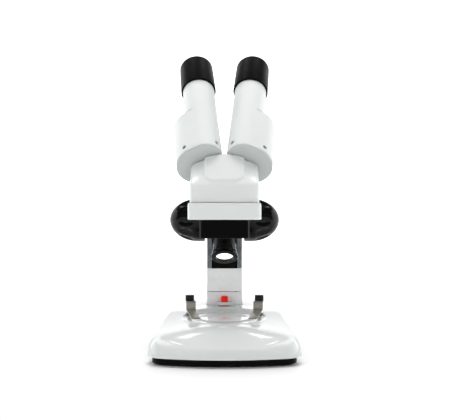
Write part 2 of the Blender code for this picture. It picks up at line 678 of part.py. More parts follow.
def cover_solid(name, half_x, inset, tongue, low):
    """A closed solid under the cover's height, in columns across x."""
    height = head_profile(inset, tongue)
    front, rear = HEAD_FRONT + inset, HEAD_REAR - inset
    stations = [front, front + 0.8, -16.0, -8.0, -2.0, 1.0, 3.5, 6.0, 12.0, 20.0, 26.0, 29.0, rear]
    columns = [-half_x, -half_x + 1.2, -half_x * 0.5, 0.0, half_x * 0.5, half_x - 1.2, half_x]
    bm = bmesh.new()
    top, bottom = [], []
    for x in columns:
        edge = 1.0 if abs(x) > half_x - 0.5 else 0.0
        top.append([bm.verts.new((x, y, height(x, y) - edge - (1.0 if y == front else 0.0)))
                    for y in stations])
        bottom.append([bm.verts.new((x, y, low)) for y in stations])
    last = len(stations) - 1
    for i in range(len(columns) - 1):
        for j in range(last):
            bm.faces.new((top[i][j], top[i + 1][j], top[i + 1][j + 1], top[i][j + 1]))
            bm.faces.new((bottom[i][j], bottom[i][j + 1], bottom[i + 1][j + 1], bottom[i + 1][j]))
        for j in (0, last):
            bm.faces.new((top[i][j], bottom[i][j], bottom[i + 1][j], top[i + 1][j]))
    for i in (0, len(columns) - 1):
        for j in range(last):
            bm.faces.new((top[i][j], top[i][j + 1], bottom[i][j + 1], bottom[i][j]))
    return place(name, bm, WHITE if name == "head_shell" else None)


def head_shell():
    shell = cover_solid("head_shell", HEAD_X, 0.0, False, HEAD_LOW)
    combine(shell, [cover_solid("tongue", TONGUE_X, 0.01, True, HEAD_LOW + 6.0)], "UNION")
    cuts = [cover_solid("hollow", HEAD_X - HEAD_WALL, HEAD_WALL, False, HEAD_LOW - 5.0)]
    for side in (-1, 1):
        cuts.append(place("cut_pivot", disc(SPIGOT_R + GAP, -9.0, 3.0, 20), None, drum_frame(side)))
    combine(shell, cuts)


def objective():
    """The black housing under the head, with a stepped bore for each objective."""
    body = prism(rounded(-OBJ_X, OBJ_X, OBJ_FRONT, OBJ_REAR, 6.0), OBJ_LOW, OBJ_TOP)
    housing = place("objective_housing", body, BLACK)
    cuts = []
    for side in (-1, 1):
        cuts.append(place("cut_bore", disc(5.0, 80, 110, 20, side * LENS_X, 0), None))
        cuts.append(place("cut_lens", disc(7.3, 80, OBJ_LOW + 6.0, 24, side * LENS_X, 0), None))
    combine(housing, cuts)
    for key, side in (("left", -1), ("right", 1)):
        low, high = OBJ_LOW + 2.4, OBJ_LOW + 6.0 - GAP
        profile = [(0, low - 0.7), (3.5, low - 0.4), (6.0, low + 0.2), (7.0, low + 0.6), (7.0, high), (0, high)]
        place(f"objective_lens_{key}", turned(profile, 24), GLASS, at(side * LENS_X, 0, 0))


# ---------------------------------------------------------------- lamp

def lamp():
    """A small lamp that tips on a pin under the head and points at the stage."""
    frame = at(*LAMP_HINGE) @ turn_x(-LAMP_TILT)
    mouth = -LAMP_LONG
    profile = [(7.2, mouth), (LAMP_RIM_R, mouth), (LAMP_RIM_R, mouth + 1.6), (LAMP_R + 0.3, mouth + 4.5),
               (LAMP_R, mouth + 8.0), (LAMP_R, mouth + 22.5), (LAMP_R - 1.5, mouth + 24.0), (0, mouth + 24.0),
               (0, mouth + 12.0), (8.2, mouth + 12.0), (8.2, mouth + 2.0), (7.2, mouth + 2.0)]
    housing = place("lamp_housing", turned(profile, 24, closed=True), BLACK, frame)
    tab = place("lamp_tab", side_prism([(-3.2, mouth + 23.0), (3.2, mouth + 23.0), (3.2, 1.5), (1.5, 3.2),
                                        (-1.5, 3.2), (-3.2, 1.5)], 2.4), None, frame)
    combine(housing, [tab], "UNION")
    pin_frame = at(*LAMP_HINGE) @ Matrix.Rotation(math.pi / 2, 4, "Y")
    combine(housing, [place("cut_pin", disc(1.75, -9, 9, 12), None, pin_frame)])
    cup = [(2.0, mouth + 10.5), (7.9, mouth + 3.0), (7.9, mouth + 2.3), (7.0, mouth + 2.3), (4.6, mouth + 6.5),
           (2.0, mouth + 9.6)]
    place("lamp_reflector", turned(cup, 24, closed=True), CHROME, frame)
    bulb = [(0, mouth + 6.0), (1.0, mouth + 6.3), (1.6, mouth + 7.4), (1.6, mouth + 11.6), (0, mouth + 11.6)]
    place("lamp_led", turned(bulb, 12), LED, frame)
    place("lamp_pin", disc(1.5, -5.6, 5.6, 12), STEEL, pin_frame)
    hinge_y, hinge_z = LAMP_HINGE.y, LAMP_HINGE.z
    top = FRAME_LOW - GAP
    bridge = place("lamp_bracket", block(-5.4, 5.4, hinge_y - 5.0, hinge_y + 5.0, top - 1.8, top), BLACK)
    ears = []
    for side in (-1, 1):
        ear = side_prism([(hinge_y - 3.5, top - 1.0), (hinge_y - 3.0, hinge_z - 2.5),
                          (hinge_y, hinge_z - 3.6), (hinge_y + 3.0, hinge_z - 2.5),
                          (hinge_y + 3.5, top - 1.0)], 1.2)
        ears.append(place("ear", ear, None, at(side * 4.1, 0, 0)))
    combine(bridge, ears, "UNION")
    combine(bridge, [place("cut_ear_pin", disc(1.75, -9, 9, 12), None, pin_frame)])


# ---------------------------------------------------------------- drums and eyepieces

def drum_frame(side):
    """A frame on a drum's pivot: z up the tube, y back and down, x to the right."""
    spread_out = Matrix.Rotation(side * LEAN, 4, "Y")
    return at(side * PIVOT.x, PIVOT.y, PIVOT.z) @ turn_x(math.radians(-45)) @ spread_out


def drum_arcs(side, inset, shared=8, rest=18):
    """The drum's wide arc, the arc it shares with the tube, and the tube's other arc."""
    drum = Vector((side * DRUM_X, DRUM_Y))
    tube = Vector((side * TUBE_X, TUBE_Y))
    line = tube - drum
    open_angle = math.acos((DRUM_R - TUBE_R) / line.length)
    heading = math.atan2(line.y, line.x)

    def arc(centre, radius, start, sweep, steps):
        angles = [start + sweep * i / steps for i in range(steps + 1)]
        return [(centre.x + radius * math.cos(a), centre.y + radius * math.sin(a)) for a in angles]
    first = heading - open_angle
    wide = arc(drum, DRUM_R - inset, heading + open_angle, math.tau - 2 * open_angle, rest)
    common = arc(tube, TUBE_R - inset, first, 2 * open_angle, shared)
    other = arc(tube, TUBE_R - inset, heading + open_angle, math.tau - 2 * open_angle, rest)
    return wide, common, other


def drum_walls(bm, side, inset, low, shoulder, top):
    """Walls of a drum that narrows to its tube; returns the open rings at both ends."""
    wide, common, other = drum_arcs(side, inset)
    base = [bm.verts.new((x, y, low)) for x, y in wide + common]
    step = [bm.verts.new((x, y, shoulder)) for x, y in wide + common]
    inner = [bm.verts.new((x, y, shoulder)) for x, y in other[1:-1]]
    count = len(base)
    for i in range(count):
        j = (i + 1) % count
        bm.faces.new((base[i], base[j], step[j], step[i]))
    arcs = len(wide)
    start, end = step[-1], step[arcs]
    bm.faces.new(step[:arcs] + [end] + inner[::-1] + [start])
    neck = [start] + inner + [end] + step[arcs + 1:-1]
    rim = [bm.verts.new((*vert.co.xy, top)) for vert in neck]
    for i in range(len(neck)):
        j = (i + 1) % len(neck)
        bm.faces.new((neck[i], neck[j], rim[j], rim[i]))
    return base, rim


def drum_shell(side):
    """A hollow drum and its tube in one moulding, open at both ends."""
    bm = bmesh.new()
    base_out, rim_out = drum_walls(bm, side, 0.0, DRUM_LOW, DRUM_TOP, TUBE_TOP)
    base_in, rim_in = drum_walls(bm, side, DRUM_WALL, DRUM_LOW, DRUM_TOP - DRUM_WALL, TUBE_TOP)
    for outer, inner in ((base_out, base_in), (rim_out, rim_in)):
        for i in range(len(outer)):
            j = (i + 1) % len(outer)
            bm.faces.new((outer[i], outer[j], inner[j], inner[i]))
    return bm


def drum(key, side):
    frame = drum_frame(side)
    shell = place(f"drum_shell_{key}", drum_shell(side), WHITE, frame)
    wide, common, _ = drum_arcs(side, 0.0)
    plate = place(f"drum_plate_{key}", prism(wide + common, 0.0, PLATE_THICK), PLATE_GREY, frame)
    spigot = place("spigot", disc(SPIGOT_R, -SPIGOT_DEEP, 1.0, 20), None, frame)
    combine(plate, [spigot], "UNION")
    combine(plate, [place("cut_light", disc(SIGHT_R, -9.0, 5.0, 16), None, frame)])
    middle_x, middle_y = side * (TUBE_X + 0.5), (DRUM_Y + TUBE_Y) / 2 + 3.5
    place(f"prism_{key}", block(middle_x - 8, middle_x + 8, middle_y - 9, middle_y + 9, 6.0, 34.0),
          GLASS, frame)
    for name, angle in DRUM_SCREWS.items():
        drum_screw(f"drum_screw_{key}_{name}", shell, frame, side, angle)
    eyepiece(key, side, frame)


def drum_screw(name, shell, frame, side, angle):
    """A screw through the drum's wall, just above the plate."""
    turn = math.radians(angle if side < 0 else 180.0 - angle)
    facing = Vector((math.cos(turn), math.sin(turn), 0.0))
    spot = screw_spot(side, facing)
    rest = frame @ at(spot.x, spot.y, DRUM_SCREW_Z) @ facing.to_track_quat("Z", "Y").to_matrix().to_4x4()
    tip = [(0, -4.5), (0.9, -4.5), (0.9, -1.2), (1.6, -1.2), (1.6, 0.1), (0, 0.1)]
    place(name, turned(tip, 12), STEEL, rest)
    cuts = [place("cut_" + name, disc(1.9, -1.5, 3.0, 12), None, rest),
            place("cut_shank_" + name, disc(1.15, -4.0, 1.0, 10), None, rest)]
    combine(shell, cuts)


def screw_spot(side, facing):
    """Where the outline's tangent faces a direction: the far point of either circle."""
    spots = [Vector((side * DRUM_X, DRUM_Y, 0)) + facing * DRUM_R,
             Vector((side * TUBE_X, TUBE_Y, 0)) + facing * TUBE_R]
    return max(spots, key=lambda spot: spot.dot(facing))


def eyepiece(key, side, frame):
    """A black eyepiece whose sleeve slides in the tube, with its top lens in a recess."""
    here = frame @ at(side * TUBE_X, TUBE_Y, EYE_LOW)
    tall = EYE_TOP - EYE_LOW
    profile = [(9.0, -18.0), (11.4, -18.0), (11.4, 0.0), (EYE_R, 0.0), (EYE_R, 2.0), (EYE_TOP_R, tall - 1.5),
               (EYE_TOP_R - 1.5, tall), (12.2, tall), (11.0, tall - 6.5), (9.0, tall - 6.5)]
    place(f"eyepiece_{key}", turned(profile, 28, closed=True), RUBBER, here)
    lens = [(0, tall - 12.0), (8.7, tall - 12.0), (8.7, tall - 9.0), (5.0, tall - 8.3), (0, tall - 8.0)]
    place(f"eye_lens_{key}", turned(lens, 24), GLASS, here)


# ---------------------------------------------------------------- whole object

clear_scene()
ROOT = bpy.data.objects.new("microscope", None)
bpy.context.scene.collection.objects.link(ROOT)
ROOT.location = (0.0, AXIS_Y * MM, 0.0)

base_shell()
base_plate()
feet()
base_screws()
batteries()
pillar()
switch()
stage()
focus_drive()
carriage()
head()
lamp()
for drum_name, drum_side in (("left", -1), ("right", 1)):
    drum(drum_name, drum_side)
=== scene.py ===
"""Looks for the toy stereo microscope: fine surfaces, materials, light and camera.

Lengths are in millimetres until a piece is placed. Positions are measured from the optical axis
on the table top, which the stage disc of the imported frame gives: +X right, +Y to the pillar.
"""
from math import acos, atan2, copysign, cos, hypot, pi, radians, sin, sqrt, tau

import bmesh
import bpy
from mathutils import Matrix, Vector


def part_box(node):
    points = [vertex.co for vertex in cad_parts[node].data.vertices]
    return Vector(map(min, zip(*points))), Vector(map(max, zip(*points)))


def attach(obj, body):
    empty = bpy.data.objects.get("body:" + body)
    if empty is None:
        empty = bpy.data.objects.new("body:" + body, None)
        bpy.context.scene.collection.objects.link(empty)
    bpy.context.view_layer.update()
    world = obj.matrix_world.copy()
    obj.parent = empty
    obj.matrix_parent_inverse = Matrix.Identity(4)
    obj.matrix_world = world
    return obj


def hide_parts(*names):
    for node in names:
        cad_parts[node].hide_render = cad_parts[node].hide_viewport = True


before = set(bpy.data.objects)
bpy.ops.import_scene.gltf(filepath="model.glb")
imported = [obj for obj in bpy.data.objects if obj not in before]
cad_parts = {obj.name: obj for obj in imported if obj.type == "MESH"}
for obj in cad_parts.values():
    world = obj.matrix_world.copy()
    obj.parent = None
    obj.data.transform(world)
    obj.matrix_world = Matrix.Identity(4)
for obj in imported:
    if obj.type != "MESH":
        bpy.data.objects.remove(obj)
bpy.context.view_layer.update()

MM = 0.001
# Clearance between fitting parts
GAP = 0.3
SIDES = (("left", -1), ("right", 1))
CORNERS = ("front_left", "front_right", "rear_left", "rear_right")


def middle(node):
    low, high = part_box(node)
    return (low + high) / 2 / MM


def top_of(node):
    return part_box(node)[1].z / MM


def low_of(node):
    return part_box(node)[0].z / MM


def ends(node):
    return low_of(node), top_of(node)


AXIS_Y = middle("stage_disc").y


def plan(node):
    """The middle of a node's box in plan, from the optical axis."""
    spot = middle(node)
    return spot.x, spot.y - AXIS_Y


# Base: the plan outline, the front edge of which bows by BASE_BOW at BOW_X from the middle
BASE_FRONT_Y, BASE_REAR_Y, BASE_BOW, BOW_X = -66.0, 88.0, 8.0, 50.0
BASE_WIDE, BASE_WIDE_Y, BASE_TAPER = 55.6, -47.0, 0.113
FRONT_CORNER_R, REAR_CORNER_R = 12.0, 16.0
SHELL_WALL = 2.4
LAND_R, LAND_Z, DECK_Z = 31.5, 26.0, 29.2
WELL_R, WELL_Z = 19.5, 23.4
LAND_SLOPE = 0.07
PLATE_INSET = 3.6
PLATE_LOW, PLATE_TOP = ends("base_plate")
RIM_Z = PLATE_TOP + GAP
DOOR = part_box("battery_door")[0] / MM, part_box("battery_door")[1] / MM
POST_HOLE_R, SCREW_HOLE_R = 2.15, 1.9

# Base top: from EDGE_Z each part climbs by a rise over a run, and flattens with a power
EDGE_Z = 6.0
WALL, RIM, LOBE_EDGE = (26.0, 8.0, 3.0), (26.0, 4.0, 3.0), (14.0, 10.0, 2.2)
PANEL, PANEL_SLOPE = (5.2, 3.0, 2.0), 0.66
LOBE_Z, LOBE_SLOPE = 25.3, 0.184
LOBE_DIP, LOBE_X, LOBE_FADE = 6.0, 31.0, 14.0
CREASE, TIER_BLEND, WALL_BLEND = 0.8, 0.9, 3.0
DOME_FRONT_Y, DOME_REAR_Y, DOME_FALL = -33.0, 20.0, 0.0128
REAR_RISE, REAR_Y, REAR_LONG = 1.8, 45.0, 35.0
FALL, FALL_SLOPE, FALL_MIN, FALL_MAX = 0.00114, 0.000055, 0.0003, 0.0045

# Pillar, switch and stage
PILLAR_X, PILLAR_FRONT, PILLAR_REAR = 15.0, 52.0, 80.0
PILLAR_WALL, SLOT_X, LIP = 2.2, 11.2, 2.5
COVER_DEEP = 1.9
BUTTON_AT_Y = plan("switch_button")[1]
POST_X, POST_Y = plan("clip_post_right")
CLIP_REACH, CLIP_TURN, CLIP_WIDE = 23.0, radians(13.0), 8.0
CLIP_THICK = 0.6
DISC_R = 19.3
BEZEL_X, BUTTON_X, BUTTON_Y = 6.5, 2.9, 2.2

# Focus drive
SHAFT_Y, SHAFT_Z = plan("pinion_shaft")[1], middle("pinion_shaft").z
SHAFT_R = 3.0
KNOB_R, KNOB_IN, KNOB_SHOULDER, KNOB_OUT = 18.9, 16.9, 22.5, 47.5
DIMPLES, DIMPLE_TURN, DIMPLE_DEEP = 12, radians(5), 1.6
DIMPLE_X, DIMPLE_LONG, DIMPLE_WIDE = 33.0, 8.0, 4.4

# Head
FRAME_X, FRAME_FRONT, FRAME_REAR = 27.65, -28.0, 48.5
FRAME_LOW, FRAME_TOP = ends("head_frame")
HEAD_X, HEAD_FRONT, HEAD_REAR = 26.25, -25.0, 45.8
HEAD_LOW = low_of("head_shell")
OBJ_X, OBJ_FRONT, OBJ_REAR = 18.65, -22.0, 16.0
OBJ_LOW, OBJ_TOP = ends("objective_housing")
LENS_X = middle("objective_lens_right").x
# Cover: shoulders that climb less towards the sides, and a crowned tongue
HEAD_RIM, HEAD_CORNER_R = 2.6, 5.0
SHOULDER_Z, SHOULDER_RISE, SHOULDER_DROP = 128.6, 0.84, 0.31
TONGUE_Z, TONGUE_RISE = 130.3, 0.922
TONGUE_X, TONGUE_START, TONGUE_R, TONGUE_FLARE = 15.6, 2.6, 9.0, 1.3
CROWN, CROWN_MORE, CROWN_LONG = 0.003, 0.012, 26.0
REAR_DECK_Z, ROOF_BLEND, ROOF_CREASE = 125.4, 3.0, 0.8
# Cover finish: voxel and smoothing passes, then the roof's own passes
MELT_VOXEL, MELT_PASSES = 0.42, 3
ROOF_Y, ROOF_PASSES = 6.0, 16

# Eyepiece drums, in a frame on the pivot: z along the tube, y back and down, x to the side
LEAN = radians(4.9)
PIVOT = Vector((12.0, 15.7, 139.2))
DRUM_R, DRUM_X, DRUM_Y = 18.3, 7.9, -8.06
TUBE_R, TUBE_X, TUBE_Y = 13.6, 3.0, -15.66
DRUM_WALL, PLATE_THICK = 1.8, 2.2
DRUM_LOW, DRUM_TOP, TUBE_TOP = 2.5, 50.0, 87.8
SCREW_INNER, SCREW_OUTER, SCREW_Z, SCREW_FLAT = -44.0, -128.0, 7.8, 2.2
FILLET_FADE = 8
EYE_LOW, EYE_TOP = 88.1, 123.7

# Lamp, in a frame on its hinge: z along the barrel towards the hinge
LAMP_TILT = radians(32.0)
LAMP_HINGE = Vector((0.0, 44.5, 96.5))
LAMP_LONG, LAMP_R, LAMP_RIM_R = 30.0, 9.75, 11.0
BULB_R = 1.6

# Floor, wall, lights and camera
FLOOR_R, FLOOR_PLAIN, FLOOR_GLOW = 1500.0, 250.0, 900.0
WALL_X, WALL_BEND, WALL_STEPS = 3000, 1500, 8
WALL_LOW, WALL_TOP, WALL_NEAR = -100, 2200.0, -200.0
WORLD_LIGHT, TOP_LIGHT, SIDE_LIGHT, BOX_LIGHT = 0.2, 31.5, 11.3, 2.6
CAMERA_AT = Vector((0.4, -581.0 + AXIS_Y, 110.0))
SENSOR, FOCAL = 36.0, 59.6


# ---- materials

# Noise scales, and the depth of a moulded grain in metres
DRIFT_SCALE, GLOSS_SCALE, WEAR_SCALE, BRUSH_SCALE = 38.0, 90.0, 260.0, 420.0
GRAIN_DEEP, LINE_DEEP = 0.00008, 0.00005


def socket(node, name, value):
    node.inputs[name].default_value = value


class Look:
    """A node material built step by step: colour drift, uneven gloss, fine bump, worn edges."""

    def __init__(self, name):
        self.material = bpy.data.materials.new(name)
        self.material.use_nodes = True
        self.tree = self.material.node_tree
        self.shader = self.tree.nodes["Principled BSDF"]
        self.place = self.tree.nodes.new("ShaderNodeTexCoord").outputs["Object"]

    def node(self, kind, values=(), **settings):
        made = self.tree.nodes.new(kind)
        for key, value in settings.items():
            setattr(made, key, value)
        for name, value in values:
            socket(made, name, value)
        return made

    def link(self, source, target):
        self.tree.links.new(source, target)

    def feed(self, source, name):
        self.link(source, self.shader.inputs[name])

    def noise(self, scale, detail=3.0, stretch=(1, 1, 1)):
        made = self.node("ShaderNodeTexNoise", (("Scale", scale), ("Detail", detail)))
        mapping = self.node("ShaderNodeMapping", (("Scale", stretch),))
        self.link(self.place, mapping.inputs["Vector"])
        self.link(mapping.outputs["Vector"], made.inputs["Vector"])
        return made.outputs["Fac"]

    def between(self, source, low, high, start=0.3, stop=0.7):
        """Map a 0 to 1 value onto a range of numbers."""
        made = self.node("ShaderNodeMapRange", (
            ("From Min", start), ("From Max", stop), ("To Min", low), ("To Max", high)))
        self.link(source, made.inputs["Value"])
        return made.outputs["Result"]

    def mix(self, factor, first, second):
        """Blend two colours, each a tuple or a socket."""
        made = self.node("ShaderNodeMix", data_type="RGBA")
        self.link(factor, made.inputs[0])
        for slot, colour in ((6, first), (7, second)):
            if isinstance(colour, tuple):
                made.inputs[slot].default_value = (*colour, 1.0)
            else:
                self.link(colour, made.inputs[slot])
        return made.outputs[2]

    def edges(self, sharp=0.545, sharpest=0.62):
        """High on worn outer edges, from the mesh's own curvature, broken up by noise."""
        point = self.node("ShaderNodeNewGeometry").outputs["Pointiness"]
        worn = self.between(point, 0.0, 1.0, sharp, sharpest)
        patchy = self.between(self.noise(WEAR_SCALE, 4.0), 0.2, 1.0, 0.35, 0.65)
        made = self.node("ShaderNodeMath", operation="MULTIPLY")
        self.link(worn, made.inputs[0])
        self.link(patchy, made.inputs[1])
        return made.outputs[0]

    def bump(self, height, strength, distance):
        made = self.node("ShaderNodeBump", (("Strength", strength), ("Distance", distance)))
        self.link(height, made.inputs["Height"])
        self.feed(made.outputs["Normal"], "Normal")


def plastic(name, colour, worn, rough=(0.2, 0.3), drift=0.03, grain=(1400.0, 0.08), shine=0.5):
    """Moulded plastic: the colour drifts, the gloss is uneven and the skin has a fine grain."""
    look = Look(name)
    darker = tuple(part * (1 - drift) for part in colour)
    base = look.mix(look.between(look.noise(DRIFT_SCALE), 0.0, 1.0), colour, darker)
    look.feed(look.mix(look.edges(), base, worn), "Base Color")
    gloss = look.noise(GLOSS_SCALE, 5.0)
    look.feed(look.between(gloss, *rough), "Roughness")
    look.bump(look.noise(grain[0], 2.0), grain[1], GRAIN_DEEP)
    socket(look.shader, "Specular IOR Level", shine)
    return look.material


def metal(name, colour, worn, rough=(0.25, 0.45), brushed=(1, 1, 30), metallic=1.0):
    """Brushed metal: fine lines across the length, darker in the hollows."""
    look = Look(name)
    lines = look.noise(BRUSH_SCALE, 4.0, brushed)
    darker = tuple(part * 0.8 for part in colour)
    base = look.mix(look.between(lines, 0.0, 1.0), colour, darker)
    look.feed(look.mix(look.edges(), base, worn), "Base Color")
    look.feed(look.between(lines, *rough), "Roughness")
    look.bump(lines, 0.12, LINE_DEEP)
    socket(look.shader, "Metallic", metallic)
    return look.material


def clear_glass(name, tint):
    """Coated lens glass, with faint dust in its gloss."""
    look = Look(name)
    deeper = tuple(part * 0.9 for part in tint)
    look.feed(look.mix(look.noise(60.0), tint, deeper), "Base Color")
    look.feed(look.between(look.noise(700.0, 5.0), 0.02, 0.07), "Roughness")
    look.bump(look.noise(25.0), 0.02, LINE_DEEP)
    socket(look.shader, "Transmission Weight", 0.85)
    socket(look.shader, "IOR", 1.5)
    return look.material


def lit(name, colour, strength):
    """Pale plastic that glows, for the lamp's clear dome and for the cup it lights."""
    look = Look(name)
    warm = tuple(part * 0.85 for part in colour)
    base = look.mix(look.noise(900.0), colour, warm)
    look.feed(base, "Base Color")
    look.feed(base, "Emission Color")
    look.feed(look.between(look.noise(500.0), 0.08, 0.2), "Roughness")
    socket(look.shader, "Emission Strength", strength)
    return look.material


CLEAN, SCUFFED, PALE = (0.745, 0.772, 0.765), (0.82, 0.835, 0.83), (0.92, 0.93, 0.93)
JET = (0.0010, 0.0010, 0.0014)
WHITE = plastic("white_abs", CLEAN, SCUFFED, (0.14, 0.2), 0.02, (900.0, 0.008))
BASE_WHITE = plastic("white_gloss", CLEAN, SCUFFED, (0.1, 0.15), 0.02, (700.0, 0.004))
PILLAR_WHITE = plastic("white_satin", (0.88, 0.90, 0.90), PALE, (0.3, 0.42), 0.03, (1600.0, 0.1))
TUBE_WHITE = plastic("white_tube", (0.755, 0.78, 0.775), (0.82, 0.83, 0.83), (0.42, 0.52), 0.02,
                     (1500.0, 0.05))
STAGE_WHITE = plastic("stage_white", PALE, (0.94, 0.95, 0.95), (0.03, 0.06), 0.015,
                      (900.0, 0.003), 0.6)
GREY = plastic("grey_satin", (0.87, 0.89, 0.895), PALE, (0.3, 0.42), 0.02, (1600.0, 0.06))
# Painted shade: the drum plates' grey is darker than their own pale plastic, for the shadow that
# their undersides sit in
PLATE_SHADED_GREY = plastic("grey_plate_with_painted_shade", (0.50, 0.53, 0.515), (0.58, 0.60, 0.59), (0.35, 0.5), 0.05,
                     (1800.0, 0.12))
# Painted shade: a dark blue-grey for the strips that stand in for the shadow in the pillar's
# recessed channel
PAINTED_SHADE_GREY = plastic("painted_channel_shade", (0.12, 0.15, 0.165), (0.2, 0.22, 0.23), (0.4, 0.55), 0.35,
                     (2600.0, 0.3))
GLOSS_BLACK = plastic("black_gloss", JET, (0.003, 0.003, 0.0035), (0.1, 0.16), 0.3,
                      (1100.0, 0.01), 0.18)
BLACK = plastic("black_satin", JET, (0.003,) * 3, (0.3, 0.4), 0.3, (1500.0, 0.04), 0.07)
EYE_BLACK = plastic("black_eyecup", (0.0012, 0.0012, 0.0015), (0.006,) * 3, (0.42, 0.5), 0.3,
                    (1500.0, 0.08), 0.1)
RUBBER = plastic("black_rubber", (0.008, 0.008, 0.0085), (0.035,) * 3, (0.5, 0.66), 0.3,
                 (1300.0, 0.25))
RED = plastic("red_button", (1.0, 0.022, 0.008), (0.95, 0.05, 0.03), (0.3, 0.4), 0.08,
              (1200.0, 0.05), 0.25)
CELL = plastic("cell_film", (0.05, 0.16, 0.30), (0.3, 0.36, 0.42), (0.3, 0.4), 0.15)
SPRING = metal("spring_steel", (0.60, 0.56, 0.50), (0.8, 0.75, 0.69), (0.34, 0.48), (1, 30, 1),
               0.85)
STEEL = metal("screw_steel", (0.34,) * 3, (0.7,) * 3)
GLASS = clear_glass("lens_glass", (0.80, 0.86, 0.92))
LED = lit("led_dome", (0.55, 0.56, 0.54), 0.25)
CUP_WHITE = lit("cup_glow", (1.0, 1.0, 0.98), 1.0)


# ---- tools

def add(name, data):
    thing = bpy.data.objects.new(name, data)
    bpy.context.scene.collection.objects.link(thing)
    return thing


def piece(name, bm, look, body, stands_for=(), place=Matrix(), sharp=35.0):
    """Turn a bmesh in millimetres into a piece that rides on a body and replaces CAD nodes."""
    bmesh.ops.recalc_face_normals(bm, faces=bm.faces)
    bmesh.ops.scale(bm, vec=(MM, MM, MM), verts=bm.verts)
    mesh = bpy.data.meshes.new(name)
    bm.to_mesh(mesh)
    bm.free()
    mesh.shade_smooth()
    mesh.set_sharp_from_angle(angle=radians(sharp))
    thing = add(name, mesh)
    shift = place.translation + Vector((0, AXIS_Y, 0))
    thing.matrix_world = Matrix.Translation(shift * MM) @ place.to_3x3().to_4x4()
    if look:
        mesh.materials.append(look)
    if body:
        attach(thing, body)
    if stands_for:
        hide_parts(*stands_for)
    return thing


def cutter(bm, place=Matrix()):
    """A solid to cut with or to join on, for combine()."""
    return piece("cutter", bm, None, None, place=place)


def at(x, y, z):
    return Matrix.Translation((x, y, z))


def turn_x(angle):
    return Matrix.Rotation(angle, 4, "X")


def along_x(x, y, z):
    """A frame whose z axis points along +X."""
    return at(x, y, z) @ Matrix.Rotation(pi / 2, 4, "Y")


def apply(thing):
    """Bake an object's modifiers into its mesh."""
    bpy.context.view_layer.update()
    shaped = thing.evaluated_get(bpy.context.evaluated_depsgraph_get())
    made = bpy.data.meshes.new_from_object(shaped)
    thing.modifiers.clear()
    thing.data = made
    return thing


def combine(thing, tools, operation="DIFFERENCE"):
    """Cut an object with cutters, or join them to it, and throw them away."""
    for tool in tools:
        step = thing.modifiers.new("combine", "BOOLEAN")
        step.operation = operation
        step.solver = "EXACT"
        step.object = tool
    apply(thing)
    for tool in tools:
        bpy.data.objects.remove(tool)
    return thing


def bevel(thing, width, steps=3, angle=40.0):
    step = thing.modifiers.new("bevel", "BEVEL")
    step.width = width * MM
    step.segments = steps
    step.limit_method = "ANGLE"
    step.angle_limit = radians(angle)
    step.harden_normals = True
    return thing


def settle(thing):
    """Shade by face area, so that flat faces stay flat beside their rounded edges."""
    step = thing.modifiers.new("settle", "WEIGHTED_NORMAL")
    step.keep_sharp = True
    return thing


def melt(thing, voxel, passes):
    """Round every edge of a solid a little, as a mould does: remesh it finely and smooth it."""
    grid = thing.modifiers.new("grid", "REMESH")
    grid.mode = "VOXEL"
    grid.voxel_size = voxel * MM
    grid.use_smooth_shade = True
    relax = thing.modifiers.new("relax", "SMOOTH")
    relax.factor = 0.5
    relax.iterations = passes
    return apply(thing)


def neighbours(rows, closed):
    return list(zip(rows, rows[1:])) + ([(rows[-1], rows[0])] if closed else [])


def loft(rings, closed=False):
    """Skin a list of equal rings; the ends are capped unless the loft closes on itself."""
    bm = bmesh.new()
    made = [[bm.verts.new(point) for point in row] for row in rings]
    count = len(rings[0])
    for low, high in neighbours(made, closed):
        for i in range(count):
            j = (i + 1) % count
            bm.faces.new((low[i], low[j], high[j], high[i]))
    if not closed:
        bm.faces.new(made[0])
        bm.faces.new(made[-1])
    return bm


def ring(outline, z):
    return [(x, y, z) for x, y in outline]


def prism(outline, low, high):
    return loft([ring(outline, low), ring(outline, high)])


def polar(radius, angle, x=0.0, y=0.0):
    return x + radius * cos(angle), y + radius * sin(angle)


def circle(radius, steps, x=0.0, y=0.0):
    return [polar(radius, tau * i / steps, x, y) for i in range(steps)]


def disc(radius, low, high, steps=48, x=0.0, y=0.0):
    return prism(circle(radius, steps, x, y), low, high)


def rounded(x0, x1, y0, y1, radius, steps=10):
    """A rectangle with round corners."""
    centres = ((x1 - radius, y1 - radius), (x0 + radius, y1 - radius),
               (x0 + radius, y0 + radius), (x1 - radius, y0 + radius))
    outline = []
    for quarter, (cx, cy) in enumerate(centres):
        for step in range(steps + 1):
            angle = radians(90 * (quarter + step / steps))
            outline.append(polar(radius, angle, cx, cy))
    return outline


def block(x0, x1, y0, y1, z0, z1):
    return prism([(x0, y0), (x1, y0), (x1, y1), (x0, y1)], z0, z1)


def turned(profile, steps=72, closed=False):
    """Turn a (radius, z) profile about Z. Points on the axis become a single vertex."""
    bm = bmesh.new()
    rows = []
    for radius, z in profile:
        if radius < 1e-6:
            rows.append([bm.verts.new((0, 0, z))])
        else:
            rows.append([bm.verts.new((x, y, z)) for x, y in circle(radius, steps)])
    for low, high in neighbours(rows, closed):
        for i in range(0 if len(low) + len(high) == 2 else steps):
            j = (i + 1) % steps
            corners = [low[i % len(low)], low[j % len(low)],
                       high[j % len(high)], high[i % len(high)]]
            bm.faces.new(list(dict.fromkeys(corners)))
    return bm


def soften(profile, radius=0.4, steps=3):
    """Round the corners of a turned profile."""
    out = []
    last = len(profile) - 1
    for index, point in enumerate(profile):
        here = Vector(point)
        if index in (0, last) or here.x < 1e-6:
            out.append(point)
            continue
        back = Vector(profile[index - 1]) - here
        on = Vector(profile[index + 1]) - here
        cut = min(radius, back.length * 0.45, on.length * 0.45)
        start, stop = here + back.normalized() * cut, here + on.normalized() * cut
        for step in range(steps + 1):
            t = step / steps
            spot = start * (1 - t) ** 2 + here * 2 * t * (1 - t) + stop * t ** 2
            out.append(tuple(spot))
    return out


def smooth(t):
    """0 below 0, 1 above 1, an even S between."""
    t = min(max(t, 0.0), 1.0)
    return t * t * (3 - 2 * t)


# ---- base surface

